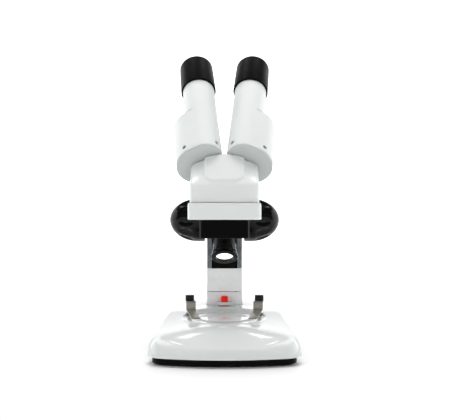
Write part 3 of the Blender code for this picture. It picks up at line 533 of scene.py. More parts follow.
def round_min(a, b, radius):
    """The smaller of two distances from an edge, with the corner between them rounded."""
    if a >= radius or b >= radius:
        return min(a, b)
    return radius - hypot(radius - a, radius - b)


def soft_min(a, b, blend):
    """The smaller of two heights, with the crease between them filled over a blend."""
    h = max(blend - abs(a - b), 0.0) / blend
    return min(a, b) - h * h * blend / 4


def soft_max(a, b, blend):
    return -soft_min(-a, -b, blend)


def edge_distances(x, y):
    """How far a point is inside the base's front edge and its sides and rear."""
    front = y - BASE_FRONT_Y - BASE_BOW * (x / BOW_X) ** 2
    half = BASE_WIDE - BASE_TAPER * (y - BASE_WIDE_Y)
    side = round_min(half - abs(x), BASE_REAR_Y - y, REAR_CORNER_R)
    return front, side


def inside(x, y):
    """How far a point is inside the base's outline."""
    front, side = edge_distances(x, y)
    return round_min(front, side, FRONT_CORNER_R)


def climb(distance, rise, run, power):
    """The height at a distance inside an edge."""
    return EDGE_Z + rise * (1 - (1 - min(max(distance / run, 0.0), 1.0)) ** power)


def deck_height(x, y):
    """The upper tier: a dome that falls to the front and rises to the pillar."""
    if y < DOME_FRONT_Y:
        centre = LAND_Z - DOME_FALL * (y - DOME_FRONT_Y) ** 2
    elif y < DOME_REAR_Y:
        share = (y - DOME_FRONT_Y) / (DOME_REAR_Y - DOME_FRONT_Y)
        centre = LAND_Z + (DECK_Z - LAND_Z) * share ** 2
    else:
        centre = DECK_Z + REAR_RISE * smooth((y - REAR_Y) / REAR_LONG)
    fall = min(max(FALL - FALL_SLOPE * y, FALL_MIN), FALL_MAX)
    return centre - fall * x * x


def base_height(x, y):
    """Height of the moulded top: the dome and front panel, or the corner lobes, within the rim."""
    front, side = edge_distances(x, y)
    around = round_min(front, side, FRONT_CORNER_R)
    wall = climb(side, *WALL)
    panel = climb(front, *PANEL) + PANEL_SLOPE * max(front, 0.0)
    upper = soft_min(soft_min(deck_height(x, y), panel, CREASE), wall, WALL_BLEND)
    dip = LOBE_DIP * smooth((LOBE_X - abs(x)) / LOBE_FADE)
    lobe = LOBE_Z + LOBE_SLOPE * min(y, 0.0) - dip
    lobe = soft_min(lobe, climb(around, *LOBE_EDGE), WALL_BLEND)
    lower = soft_min(lobe, wall, WALL_BLEND)
    return max(min(soft_max(upper, lower, TIER_BLEND), climb(around, *RIM)), EDGE_Z)


def base_outline(inset=0.0, steps=320):
    """The base's plan outline, found along each direction from the optical axis."""
    outline = []
    for i in range(steps):
        angle = tau * (i + 0.5) / steps
        near, far, tolerance = 20.0, 120.0, 0.0005
        while far - near > tolerance:
            half = (near + far) / 2
            if inside(*polar(half, angle)) > inset:
                near = half
            else:
                far = half
        outline.append(polar(near, angle))
    return outline


def spread(outline, radius, share):
    """A ring between a circle and the outline."""
    points = []
    for x, y in outline:
        reach = hypot(x, y)
        scale = (radius + (reach - radius) * share) / reach
        points.append((x * scale, y * scale))
    return points


def base_shell():
    """The white moulding: stage well, round land, dome, corner lobes and front panel."""
    outer = base_outline()
    inner = base_outline(SHELL_WALL)
    rings = [ring(spread(outer, radius, 0.0), z) for radius, z in (
        (4.0, WELL_Z), (WELL_R - 0.2, WELL_Z), (WELL_R, WELL_Z + 0.2), (WELL_R, LAND_Z - 0.2),
        (WELL_R + 0.05, LAND_Z - 0.05), (WELL_R + 0.2, LAND_Z), (LAND_R - 0.9, LAND_Z),
        (LAND_R, LAND_Z))]
    count = 10
    for step in range(1, count + 1):
        points = spread(outer, LAND_R + 0.1, step * LAND_SLOPE / count)
        lift = smooth(step / count)
        rings.append([(x, y, LAND_Z + lift * (base_height(x, y) - LAND_Z)) for x, y in points])
    count, crowding, last = 80, 1.35, 0.9995
    for step in range(1, count + 1):
        share = LAND_SLOPE + (1 - LAND_SLOPE) * (1 - (1 - step / count) ** crowding)
        points = spread(outer, LAND_R + 0.1, min(share, last))
        rings.append([(x, y, base_height(x, y)) for x, y in points])
    for inset, z in ((0.0, RIM_Z + 0.35), (0.12, RIM_Z + 0.06), (0.35, RIM_Z), (SHELL_WALL, RIM_Z)):
        rings.append(ring(base_outline(inset), z))
    for share, deep in ((0.985, 8.0), (0.9, 3.4), (0.6, 2.6), (0.3, 2.4)):
        points = spread(inner, WELL_R, share)
        rings.append([(x, y, max(base_height(x, y) - deep, RIM_Z + 0.5)) for x, y in points])
    rings.append(ring(spread(inner, WELL_R + 1.5, 0.0), WELL_Z - 2.2))
    shell = piece("base_moulding", loft(rings), BASE_WHITE, "stand", ["base_shell"], sharp=50.0)
    room = 0.25
    cuts = [cutter(block(-PILLAR_X - room, PILLAR_X + room, PILLAR_FRONT - room,
                         PILLAR_REAR + room, 8.0, 50.0))]
    x, y = 3.3, 2.6
    cuts.append(cutter(block(-x, x, BUTTON_AT_Y - y, BUTTON_AT_Y + y, 20.0, 50.0)))
    for side in (-1, 1):
        cuts.append(cutter(disc(POST_HOLE_R, 15.0, 45.0, 32, side * POST_X, POST_Y)))
    combine(shell, cuts)


def base_plate():
    """The black bottom tray, with the battery door's panel line, vents and feet pockets."""
    rings = [ring(base_outline(PLATE_INSET + inset), z) for inset, z in (
        (0.5, PLATE_LOW), (0.15, PLATE_LOW + 0.15), (0.0, PLATE_LOW + 0.5), (0.0, PLATE_LOW + 0.9),
        (0.0, PLATE_TOP - 0.4), (0.0, PLATE_TOP), (2.0, PLATE_TOP), (2.0, 3.4))]
    plate = piece("bottom_tray", loft(rings), BLACK, "stand", ["base_plate"], sharp=40.0)
    low, high = DOOR
    edge = 0.3
    cuts = [cutter(block(low.x - edge, high.x + edge, low.y - AXIS_Y - edge,
                         high.y - AXIS_Y + edge, 0.0, 5.0))]
    for key in CORNERS:
        cuts.append(cutter(disc(7.3, 0.0, 2.2, 48, *plan(f"foot_{key}"))))
        hole = plan(f"base_screw_{key}")
        cuts.append(cutter(disc(3.2, 0.0, 2.1, 32, *hole)))
        cuts.append(cutter(disc(SCREW_HOLE_R, 0.0, 5.0, 24, *hole)))
    hole = plan("pillar_bolt")
    cuts.append(cutter(disc(3.8, 0.0, 2.3, 32, *hole)))
    cuts.append(cutter(disc(SCREW_HOLE_R, 0.0, 5.0, 24, *hole)))
    for side in (-1, 1):
        for step in range(5):
            x = side * (10.0 + 4.0 * step)
            cuts.append(cutter(block(x - 0.8, x + 0.8, 20.0, 34.0, 0.0, 1.8)))
    settle(combine(plate, cuts))
    for key in CORNERS:
        shape = [(0, 0.25), (2.6, 0.25), (3.0, 0.0), (6.0, 0.0), (6.7, 0.35), (7.0, 1.0),
                 (7.0, 1.9), (0, 1.9)]
        piece(f"rubber_{key}", turned(soften(shape, 0.25)), RUBBER, "stand", [f"foot_{key}"],
              at(*plan(f"foot_{key}"), 0.0))


def battery_door():
    """The door: a plate with a finger grip of raised bars beside its screw."""
    low, high = DOOR
    x, y0, y1 = high.x, low.y - AXIS_Y, high.y - AXIS_Y
    door = piece("battery_cover", prism(rounded(-x, x, y0, y1, 1.5, 6), low.z, high.z), BLACK,
                 "stand", ["battery_door"])
    centre = (y0 + y1) / 2
    cuts = [cutter(disc(2.9, 0.0, 2.0, 32, 0.0, centre)),
            cutter(disc(1.8, 0.0, 5.0, 24, 0.0, centre))]
    for step in range(6):
        grip = x - 4.0 - 2.0 * step
        groove = block(grip - 0.5, grip + 0.5, y0 + 6, y1 - 6, 0.0, low.z + 0.5)
        cuts.append(cutter(groove))
    combine(door, cuts)
    bevel(door, 0.2, 2)


def recessed_screw(name, node, head_r, shank_r, length):
    """A pan-head screw with a cross recess; its head faces down."""
    shape = [(0, 0.0), (head_r * 0.7, 0.0), (head_r, 0.7), (head_r, 1.6), (shank_r, 1.6),
             (shank_r, length), (0, length)]
    place = at(*plan(node), low_of(node))
    made = piece(name, turned(soften(shape, 0.3), 40), STEEL, "stand", [node], place)
    slot = head_r * 0.55
    combine(made, [cutter(block(-slot, slot, -0.3, 0.3, -1.0, 0.8),
                          place @ Matrix.Rotation(turn, 4, "Z")) for turn in (0.0, pi / 2)])


def base_screws():
    """The four corner screws, the door's screw and the bolt under the pillar."""
    for key in CORNERS:
        recessed_screw(f"screw_{key}", f"base_screw_{key}", 2.8, 1.4, 12.0)
    for name, node, head_r, shank_r in (("door_screw", "battery_door_screw", 2.6, 1.4),
                                        ("column_bolt", "pillar_bolt", 3.4, 1.6)):
        recessed_screw(name, node, head_r, shank_r, top_of(node) - low_of(node))


# ---- pillar, switch and stage

def pillar():
    """A slotted column with round rear corners, its cap, the grey cover, the switch panel, and two
    dark strips of painted shade on its lips.
    """
    x, wall, deep = PILLAR_X, PILLAR_WALL, PILLAR_FRONT + LIP
    section = [(-x, PILLAR_FRONT), (-SLOT_X, PILLAR_FRONT), (-SLOT_X, deep), (-x + wall, deep),
               (-x + wall, PILLAR_REAR - wall), (x - wall, PILLAR_REAR - wall), (x - wall, deep),
               (SLOT_X, deep), (SLOT_X, PILLAR_FRONT), (x, PILLAR_FRONT)]
    radius, steps, rear = 3.0, 8, []
    for corner, start in ((x - radius, 0.0), (-x + radius, 90.0)):
        for step in range(steps + 1):
            angle = radians(start + 90.0 * step / steps)
            rear.append(polar(radius, angle, corner, PILLAR_REAR - radius))
    section += rear
    low, high = ends("pillar")
    column = piece("column", prism(section, low, high), PILLAR_WHITE, "stand", ["pillar"])
    foot = block(-x + 0.5, x - 0.5, PILLAR_FRONT + 0.5, PILLAR_REAR - 1.5, low + 0.1, 14.0)
    combine(column, [cutter(foot)], "UNION")
    cover_top, cover_low = top_of("pillar_cover"), low_of("pillar_cover")
    cuts = [cutter(block(-x - 1, x + 1, PILLAR_FRONT - 1, PILLAR_FRONT + COVER_DEEP + 0.15,
                         28.0, cover_top + 0.1)),
            cutter(disc(SHAFT_R + 0.2, -20, 20, 40), along_x(0, SHAFT_Y, SHAFT_Z)),
            cutter(disc(SCREW_HOLE_R, 0, 12, 24, 0, plan("pillar_bolt")[1]))]
    combine(column, cuts)
    bevel(column, 0.45, angle=60.0)
    front = plan("pillar_cap")[1] - 8.0
    cap = prism([(-x, front), (x, front)] + rear, *ends("pillar_cap"))
    bevel(piece("column_cap", cap, PILLAR_WHITE, "stand", ["pillar_cap"]), 0.7)
    face = (PILLAR_FRONT, PILLAR_FRONT + COVER_DEEP)
    cover = block(-x, x, *face, cover_low, cover_top)
    bevel(piece("column_cover", cover, GREY, "stand", ["pillar_cover"]), 0.35)
    panel = block(-x, x, *face, DECK_Z - 0.1, top_of("switch_panel"))
    bevel(piece("switch_plate", panel, GREY, "stand", ["switch_panel"]), 0.35)
    # Painted shade: dark strips on the flat lips above the cover, in place of the shadow in a
    # recessed channel
    for key, side in SIDES:
        near, far = sorted((side * (SLOT_X + 0.15), side * (PILLAR_X - 0.5)))
        strip = block(near, far, PILLAR_FRONT - 0.12, PILLAR_FRONT + 0.4,
                      cover_top + 0.25, high - 0.6)
        piece(f"painted_shade_strip_{key}", strip, PAINTED_SHADE_GREY, "stand")


def switch():
    """The red button, slightly crowned, in its white bezel."""
    y = BUTTON_AT_Y
    outline = rounded(-BEZEL_X, BEZEL_X, y - 3.2, PILLAR_FRONT - 0.3, 0.9)
    bezel = piece("switch_bezel_fine", prism(outline, *ends("switch_bezel")),
                  WHITE, "stand", ["switch_bezel"])
    combine(bezel, [cutter(prism(rounded(-3.2, 3.2, y - 2.5, y + 2.5, 1.0), 20, 50))])
    bevel(bezel, 0.35)
    low, high = ends("switch_button")
    rows = []
    for inset, z in ((0.0, low), (0.0, high - 0.9), (0.12, high - 0.45), (0.4, high - 0.15),
                     (0.9, high)):
        x_in, y_in = BUTTON_X - inset, BUTTON_Y - inset
        rows.append(ring(rounded(-x_in, x_in, -y_in, y_in, 0.8), z))
    piece("red_button", loft(rows), RED, "switch", ["switch_button"], at(0.0, y, 0.0), sharp=50.0)


def stage():
    """The white disc, just proud of the land, and its two clips."""
    low = low_of("stage_disc")
    wide, top = DISC_R + 0.15, LAND_Z + 0.03
    shape = [(0, low), (wide, low), (wide, top - 0.08), (wide - 0.08, top), (0, top)]
    piece("stage_plate", turned(soften(shape, 0.08), 160), STAGE_WHITE, "stage", ["stage_disc"])
    for key, side in SIDES:
        clip(key, side)


def clip(key, side):
    """A spring strip: a tab round the post, a drop, a long slope, and a tip that turns up."""
    place = at(side * POST_X, POST_Y, 0.0) @ Matrix.Rotation(-side * CLIP_TURN, 4, "Z")
    tab, drop = 4.4, -5.2
    reach = drop - CLIP_REACH
    corners = [(tab, 37.7), (drop + 0.6, 37.7), (drop, 31.4), (reach + 1.5, 27.2), (reach, 28.3)]
    # soften() leaves points on the axis sharp, so the path is rounded well away from it
    away = 60
    path = [Vector(point) for point in soften([(y + away, z) for y, z in corners], 1.4, 6)]
    path = [Vector((p.x - away, p.y)) for p in path]
    rows = []
    for index, spot in enumerate(path):
        along = (path[min(index + 1, len(path) - 1)] - path[max(index - 1, 0)]).normalized()
        off = Vector((along.y, -along.x)) * (CLIP_THICK / 2)
        trim = 1.0 if index in (0, len(path) - 1) else 0.0
        half = CLIP_WIDE / 2 - 0.05 - 0.5 * smooth((tab - spot.x) / 30.0) - trim
        under, over = spot - off, spot + off
        rows.append([(-half, under.x, under.y), (half, under.x, under.y),
                     (half, over.x, over.y), (-half, over.x, over.y)])
    body = f"{key}_clip"
    blade = piece(f"clip_strip_{key}", loft(rows), SPRING, body, [f"clip_blade_{key}"], place, 60.0)
    combine(blade, [cutter(disc(POST_HOLE_R, 35.0, 40.0, 32), place)])
    bevel(blade, 0.12, 2, 60.0)
    top = top_of(f"clip_post_{key}")
    pin = [(0, 18.0), (3.4, 18.0), (3.4, 19.5), (1.95, 19.5), (1.95, 38.3), (0, 38.3)]
    piece(f"clip_pin_{key}", turned(soften(pin, 0.2), 48), STEEL, body, (), place)
    cap = [(0, 38.15), (3.45, 38.15), (3.6, 38.4), (3.6, top - 0.7), (3.35, top - 0.2),
           (2.6, top), (0, top - 0.1)]
    piece(f"clip_knob_{key}", turned(soften(cap, 0.2), 48), GLOSS_BLACK, body,
          [f"clip_post_{key}"], place)


# ---- focus drive

def knob_radius(z):
    """The knob's outline: a straight barrel that closes as half an ellipse at its outer end."""
    share = max(z - KNOB_SHOULDER, 0.0) / (KNOB_OUT - KNOB_SHOULDER)
    return KNOB_R * sqrt(max(1 - share * share, 0.0))


def knob(turn):
    """A moulded knob: twelve finger dimples, each a long shallow oval, and a bore for the shaft."""
    steps, levels = 360, 72
    bore = SHAFT_R + GAP
    rows = [ring(circle(radius, steps), KNOB_IN + z) for radius, z in (
        (0.4, 13.0), (bore, 13.0), (bore, 0.0), (11.0, 0.0), (KNOB_R - 1.2, 0.0),
        (KNOB_R - 0.5, 0.12), (KNOB_R - 0.1, 0.5))]
    for level in range(1, levels):
        z = KNOB_IN + (KNOB_OUT - KNOB_IN) * sin(pi / 2 * (0.03 + 0.97 * level / levels))
        points = []
        for i in range(steps):
            angle = tau * i / steps
            radius = knob_radius(z)
            part = ((angle - turn) * DIMPLES / tau + 0.5) % 1.0 - 0.5
            across = part * tau / DIMPLES * radius / DIMPLE_WIDE
            along = (z - DIMPLE_X) / DIMPLE_LONG
            radius -= DIMPLE_DEEP * smooth(1.3 - 1.3 * hypot(across, along))
            points.append((*polar(radius, angle), z))
        rows.append(points)
    rows.append(ring(circle(0.3, steps), KNOB_OUT))
    return loft(rows)


def focus_drive():
    """The two mirrored knobs."""
    for key, side in SIDES:
        turn = Matrix.Rotation(0 if side > 0 else pi, 4, "Y")
        piece(f"knob_{key}", knob(side * DIMPLE_TURN), GLOSS_BLACK, "focus_drive",
              [f"focus_knob_{key}"], along_x(0.0, SHAFT_Y, SHAFT_Z) @ turn, 60.0)


# ---- head

def drum_frame(side):
    """A frame on a drum's pivot: z up the tube, y back and down, x to the right."""
    tilt = turn_x(radians(-45))
    return at(side * PIVOT.x, PIVOT.y, PIVOT.z) @ tilt @ Matrix.Rotation(side * LEAN, 4, "Y")


def stepped_block(half, front, rear, radius, steps):
    """A block with round corners, lofted through (inset, z) steps."""
    return loft([ring(rounded(-half + inset, half - inset, front + inset, rear - inset,
                              radius - inset), z) for inset, z in steps])


def head_frame():
    """The white band round the head, with a fine lip along its upper edge."""
    wall = 2.2
    band = stepped_block(FRAME_X, FRAME_FRONT, FRAME_REAR, 6.0, (
        (0.7, FRAME_LOW), (0.25, FRAME_LOW + 0.12), (0.0, FRAME_LOW + 0.6), (0.0, FRAME_LOW + 1.1),
        (0.0, FRAME_TOP - 2.0), (0.0, FRAME_TOP - 1.5), (0.14, FRAME_TOP - 1.38),
        (0.14, FRAME_TOP - 1.0), (0.3, FRAME_TOP - 0.4), (0.75, FRAME_TOP), (wall, FRAME_TOP),
        (wall, FRAME_LOW + wall)))
    band = piece("head_band", band, WHITE, "head", ["head_frame"], sharp=45.0)
    cuts = [cutter(disc(6.0, 100, 108, 48, side * LENS_X, 0)) for side in (-1, 1)]
    settle(combine(band, cuts))


def roof_height(x, y, drop):
    """The two planes on which the drums stand, each leaning to its own side."""
    normal = drum_frame(1 if x > 0 else -1).to_3x3() @ Vector((0, 0, 1))
    spot = Vector((copysign(PIVOT.x, x), PIVOT.y, PIVOT.z))
    offset = (Vector((x, y, 0)) - spot).dot(normal)
    return (-offset - drop) / normal.z


def head_height(x, y):
    """The cover's top: leaning shoulders, a crowned tongue, the roof, the rear deck, soft rims."""
    back = y - HEAD_FRONT
    shoulder = SHOULDER_Z + (SHOULDER_RISE - SHOULDER_DROP * (x / HEAD_X) ** 2) * back
    crown = CROWN + CROWN_MORE * smooth(back / CROWN_LONG)
    tongue = TONGUE_Z + TONGUE_RISE * back - crown * x * x
    within = rounded_inside(x, y, TONGUE_X, HEAD_FRONT + TONGUE_START, 40.0, TONGUE_R)
    step = max(tongue - shoulder, 0.0) * smooth(0.5 + within / TONGUE_FLARE)
    roof = soft_max(roof_height(x, y, 1.0), REAR_DECK_Z, ROOF_BLEND)
    height = soft_min(shoulder + step, roof, ROOF_CREASE)
    within = rounded_inside(x, y, HEAD_X, HEAD_FRONT, HEAD_REAR, HEAD_CORNER_R)
    rim = max(HEAD_RIM - within, 0.0)
    return height - (HEAD_RIM - sqrt(max(HEAD_RIM ** 2 - min(rim, HEAD_RIM) ** 2, 0.0)))


def rounded_inside(x, y, half, front, rear, radius):
    """How far a point lies inside a rounded rectangle; negative outside it."""
    across = abs(x) - (half - radius)
    middle_y, deep = (front + rear) / 2, (rear - front) / 2 - radius
    along = abs(y - middle_y) - deep
    if across > 0 and along > 0:
        return radius - hypot(across, along)
    return radius - max(across, along)


def head_slopes():
    """A solid under the cover's height, to trim its walls with."""
    wide, columns, rows = HEAD_X + 0.6, 134, 184
    front, rear = HEAD_FRONT - 0.6, HEAD_REAR + 0.6
    bm = bmesh.new()
    top, bottom = [], []
    for i in range(columns + 1):
        x = -wide + 2 * wide * i / columns + 0.001
        line = [(x, front + (rear - front) * j / rows) for j in range(rows + 1)]
        top.append([bm.verts.new((x, y, head_height(x, y))) for x, y in line])
        bottom.append([bm.verts.new((x, y, HEAD_LOW - 10.0)) for x, y in line])
    for i in range(columns):
        for j in range(rows):
            for row, after in ((top[i], top[i + 1]), (bottom[i], bottom[i + 1])):
                bm.faces.new((row[j], after[j], after[j + 1], row[j + 1]))
        for j in (0, rows):
            bm.faces.new((top[i][j], bottom[i][j], bottom[i + 1][j], top[i + 1][j]))
    for i in (0, columns):
        for j in range(rows):
            bm.faces.new((top[i][j], top[i][j + 1], bottom[i][j + 1], bottom[i][j]))
    return cutter(bm)


def head_cover():
    """The white cover: shoulders, a raised tongue, and a roof smoothed free of voxel steps."""
    outline = rounded(-HEAD_X, HEAD_X, HEAD_FRONT, HEAD_REAR, HEAD_CORNER_R)
    walls = prism(outline, HEAD_LOW - 0.2, 165.0)
    cover = piece("head_cover", walls, WHITE, "head", ["head_shell"], sharp=60.0)
    combine(cover, [head_slopes()], "INTERSECT")
    melt(cover, MELT_VOXEL, MELT_PASSES)
    roof = cover.vertex_groups.new(name="roof")
    far = [spot.index for spot in cover.data.vertices if spot.co.y > ROOF_Y * MM]
    roof.add(far, 1.0, "REPLACE")
    relax = cover.modifiers.new("relax", "SMOOTH")
    relax.vertex_group, relax.iterations = roof.name, ROOF_PASSES
    apply(cover)
    combine(cover, [cutter(disc(7.3, -9.0, 3.0, 64), drum_frame(side)) for side in (-1, 1)])


def objective():
    """The black housing with its two recessed lenses, each in a stepped ring."""
    housing = stepped_block(OBJ_X, OBJ_FRONT, OBJ_REAR, 3.2, (
        (1.4, OBJ_LOW), (0.9, OBJ_LOW), (0.3, OBJ_LOW + 0.25), (0.0, OBJ_LOW + 0.9),
        (0.0, OBJ_LOW + 1.3), (0.0, OBJ_TOP - 0.4), (0.0, OBJ_TOP)))
    housing = piece("objective_block", housing, BLACK, "head", ["objective_housing"], sharp=45.0)
    cuts = []
    for side in (-1, 1):
        cuts.append(cutter(disc(5.0, 80, 110, 48, side * LENS_X, 0)))
        cuts.append(cutter(disc(7.3, 80, OBJ_LOW + 6.0, 64, side * LENS_X, 0)))
    settle(combine(housing, cuts))
    for key, side in SIDES:
        node = f"objective_lens_{key}"
        low, high = ends(node)
        curve = [(6.3 * step / 12, low + 0.9 * (step / 12) ** 2) for step in range(13)]
        lens = turned(curve + [(7.0, low + 1.1), (7.0, high), (0, high)], 64)
        place = at(side * LENS_X, 0, 0)
        piece(f"front_lens_{key}", lens, GLASS, "head", [node], place)
        collar = [(6.0, OBJ_LOW + 0.5), (7.15, OBJ_LOW + 0.5), (7.15, OBJ_LOW + 2.2),
                  (6.4, OBJ_LOW + 2.2)]
        collar = turned(soften(collar + collar[:1], 0.15)[:-1], 64, True)
        piece(f"lens_ring_{key}", collar, BLACK, "head", (), place)


# ---- lamp

def lamp():
    """The lamp barrel with its flared mouth, bright cup, clear LED and forked hinge."""
    place = at(*LAMP_HINGE) @ turn_x(-LAMP_TILT)
    mouth = -LAMP_LONG
    outside = [(7.2, mouth), (LAMP_RIM_R - 0.5, mouth), (LAMP_RIM_R, mouth + 0.5),
               (LAMP_RIM_R, mouth + 1.8), (LAMP_R + 0.45, mouth + 4.2), (LAMP_R, mouth + 8.0),
               (LAMP_R, mouth + 22.0), (LAMP_R - 1.8, mouth + 24.0), (0, mouth + 24.0)]
    bore = [(0, mouth + 12.0), (8.2, mouth + 12.0), (8.2, mouth + 2.0), (7.2, mouth + 1.6)]
    barrel = piece("lamp_barrel", turned(soften(outside, 0.7) + bore, 96, True),
                   GLOSS_BLACK, "lamp", ["lamp_housing"], place, 45.0)
    side = ((-3.2, mouth + 23.0), (3.2, mouth + 23.0), (3.2, 1.0), (2.3, 2.6), (0.9, 3.3),
            (-0.9, 3.3), (-2.3, 2.6), (-3.2, 1.0))
    tab = loft([[(x, y, z) for y, z in side] for x in (-2.4, 2.4)])
    combine(barrel, [cutter(tab, place)], "UNION")
    pin_place = along_x(*LAMP_HINGE)
    combine(barrel, [cutter(disc(1.7, -9, 9, 32), pin_place)])
    shares = [step / 14 for step in range(15)]
    cup = [(1.9 + 5.2 * share, mouth + 2.3 + 7.0 * (1 - share ** 1.8)) for share in shares]
    back = [(radius + 0.6, z + 0.5) for radius, z in reversed(cup)]
    piece("lamp_cup", turned(cup + back, 96, True), CUP_WHITE, "lamp", ["lamp_reflector"],
          place, 60.0)
    angles = [pi / 2 * step / 8 for step in range(9)]
    dome = [(BULB_R * sin(a), mouth + 7.6 - BULB_R * cos(a)) for a in angles]
    bulb = turned(dome + [(BULB_R, mouth + 11.6), (0, mouth + 11.6)], 40)
    piece("lamp_bulb", bulb, LED, "lamp", ["lamp_led"], place)
    pin = [(0, -5.6), (1.5, -5.6), (1.5, 5.6), (0, 5.6)]
    piece("hinge_pin", turned(soften(pin, 0.3), 32), STEEL, "head", ["lamp_pin"], pin_place)


# ---- drums and eyepieces

def drum_outline(side, inset, rest_inset=None, as_tube=False, shared=28, rest=84):
    """The outline round the drum's and the tube's circles, or the tube's alone, point for point.

    The shared points lie on the tube's circle. The rest may have an inset of their own: a
    negative one, the shoulder's fillet, fades out next to the shared points.
    """
    drum, tube = Vector((side * DRUM_X, DRUM_Y)), Vector((side * TUBE_X, TUBE_Y))
    line = tube - drum
    gap_angle = acos((DRUM_R - TUBE_R) / line.length)
    heading = atan2(line.y, line.x)
    wide = (tube, TUBE_R) if as_tube else (drum, DRUM_R)
    back = inset if rest_inset is None else rest_inset
    points = []
    for centre, radius, start, sweep, steps in (
            (wide[0], wide[1] - back, heading + gap_angle, tau - 2 * gap_angle, rest),
            (tube, TUBE_R - inset, heading - gap_angle, 2 * gap_angle, shared)):
        for i in range(steps):
            angle = start + sweep * (i + 0.5) / steps
            reach = radius
            if back < 0 and steps == rest:
                reach += back * (1 - smooth(min(i, steps - 1 - i) / FILLET_FADE))
            points.append(polar(reach, angle, *centre))
    return points


def drum_skin(side):
    """The drum's wall, its shoulder, the tube and the bore, as one closed skin."""
    rows = [ring(drum_outline(side, inset), z) for inset, z in (
        (DRUM_WALL, DRUM_LOW), (0.5, DRUM_LOW), (0.12, DRUM_LOW + 0.12), (0.0, DRUM_LOW + 0.5),
        (0.0, SCREW_Z - SCREW_FLAT), (0.0, SCREW_Z + SCREW_FLAT), (0.0, 22.0), (0.0, 35.0))]
    rows += [ring(drum_outline(side, 0.0, back, z > 0), DRUM_TOP + z) for back, z in (
        (0.0, -1.5), (0.1, -0.85), (0.4, -0.35), (0.9, -0.08), (1.6, 0.0),
        (-1.4, 0.05), (-0.8, 0.25), (-0.3, 0.7), (0.0, 1.6))]
    rows += [ring(drum_outline(side, inset, None, True), z) for inset, z in (
        (0.0, 68.0), (0.0, TUBE_TOP - 0.3), (0.3, TUBE_TOP), (DRUM_WALL, TUBE_TOP),
        (DRUM_WALL, DRUM_TOP))]
    rows += [ring(drum_outline(side, DRUM_WALL), z) for z in (
        DRUM_TOP - 2.0, SCREW_Z + SCREW_FLAT, SCREW_Z - SCREW_FLAT)]
    return loft(rows, True)


def drum(key, side):
    """The white drum and tube, its plate in a grey that is partly painted shade, screws, and the
    eyepiece above.
    """
    place = drum_frame(side)
    body = f"{key}_drum"
    shell = piece(f"drum_{key}", drum_skin(side), TUBE_WHITE, body, [f"drum_shell_{key}"],
                  place, 50.0)
    # The plate's grey is partly its own colour and partly painted shade for the shadow under the
    # drum
    plate = loft([ring(drum_outline(side, inset), z) for inset, z in (
        (0.9, 0.0), (0.25, 0.12), (0.0, 0.5), (0.0, PLATE_THICK - 0.6), (0.3, PLATE_THICK - 0.2),
        (1.1, PLATE_THICK))])
    plate = piece(f"turret_plate_{key}", plate, PLATE_SHADED_GREY, body, [f"drum_plate_{key}"],
                  place, 50.0)
    combine(plate, [cutter(disc(7.0, -5.0, 1.0, 64), place)], "UNION")
    combine(plate, [cutter(disc(4.5, -9.0, 5.0, 48), place)])
    for name, angle in (("inner", SCREW_INNER), ("outer", SCREW_OUTER)):
        drum_screw(f"{key}_{name}", shell, place, side, angle, body)
    eyepiece(key, side, place)


def drum_screw(key, shell, place, side, angle, body):
    """A dark screw sunk in the drum's wall."""
    turn = radians(angle if side < 0 else 180.0 - angle)
    facing = Vector((cos(turn), sin(turn), 0.0))
    spots = [Vector((side * x, y, 0)) + facing * radius for x, y, radius in (
        (DRUM_X, DRUM_Y, DRUM_R), (TUBE_X, TUBE_Y, TUBE_R))]
    spot = max(spots, key=lambda point: point.dot(facing))
    turn = facing.to_track_quat("Z", "Y").to_matrix().to_4x4()
    rest = place @ at(spot.x, spot.y, SCREW_Z) @ turn
    combine(shell, [cutter(disc(1.9, -1.5, 3.0, 32), rest)])
    head = [(0, -4.5), (0.9, -4.5), (0.9, -1.2), (1.6, -1.2), (1.6, -0.55), (1.2, -0.3), (0, -0.25)]
    made = piece(f"drum_screw_head_{key}", turned(soften(head, 0.15), 32), STEEL, body,
                 [f"drum_screw_{key}"], rest)
    combine(made, [cutter(block(-x, x, -y, y, -0.8, 0.5), rest)
                   for x, y in ((0.9, 0.22), (0.22, 0.9))])


def eyepiece(key, side, place):
    """A black eyepiece cap on its sleeve, with a soft rim and the eye lens deep in its cup."""
    here = place @ at(side * TUBE_X, TUBE_Y, EYE_LOW)
    tall = EYE_TOP - EYE_LOW
    body = f"{key}_eyepiece"
    shape = [(9.0, -18.0), (11.4, -18.0), (11.4, 0.0), (14.7, 0.0), (15.0, 0.3),
             (14.6, tall - 1.6), (14.1, tall - 0.4), (13.2, tall), (12.3, tall - 0.2),
             (11.6, tall - 3.0), (11.0, tall - 6.5), (9.0, tall - 6.5)]
    piece(f"eyecup_{key}", turned(soften(shape, 0.45), 120, True), EYE_BLACK, body,
          [f"eyepiece_{key}"], here, 50.0)
    dome = [(8.7 * step / 12, tall - 8.0 - 1.0 * (step / 12) ** 2) for step in range(12, -1, -1)]
    lens = [(0, tall - 12.0), (8.7, tall - 12.0)] + dome
    piece(f"eye_glass_{key}", turned(lens, 72), GLASS, body, [f"eye_lens_{key}"], here)
    seat = [(8.0, tall - 7.6), (8.9, tall - 7.6), (8.9, tall - 6.6), (8.3, tall - 6.6)]
    piece(f"lens_seat_{key}", turned(seat, 72, True), BLACK, body, (), here)


# ---- CAD nodes that stay

def kept_nodes():
    """Finish the CAD's own solids, and soften some of their edges without touching a mesh."""
    for look, width, angle, nodes in (
            (CELL, 0.3, 40.0, ("battery_front", "battery_rear")),
            (STEEL, 0, 0, ("battery_contact_left", "battery_contact_right", "pinion_shaft",
                           "carriage_bolt")),
            (BLACK, 0.3, 60.0, ("carriage", "lamp_bracket")),
            (BLACK, 0, 0, ("battery_box", "switch_body")),
            (RUBBER, 0, 0, ("lamp_lead",)),
            (GLASS, 0, 0, ("prism_left", "prism_right"))):
        for node in nodes:
            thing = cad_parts[node]
            thing.data.materials.clear()
            thing.data.materials.append(look)
            if width:
                bevel(thing, width, 2, angle)


# ---- stage set

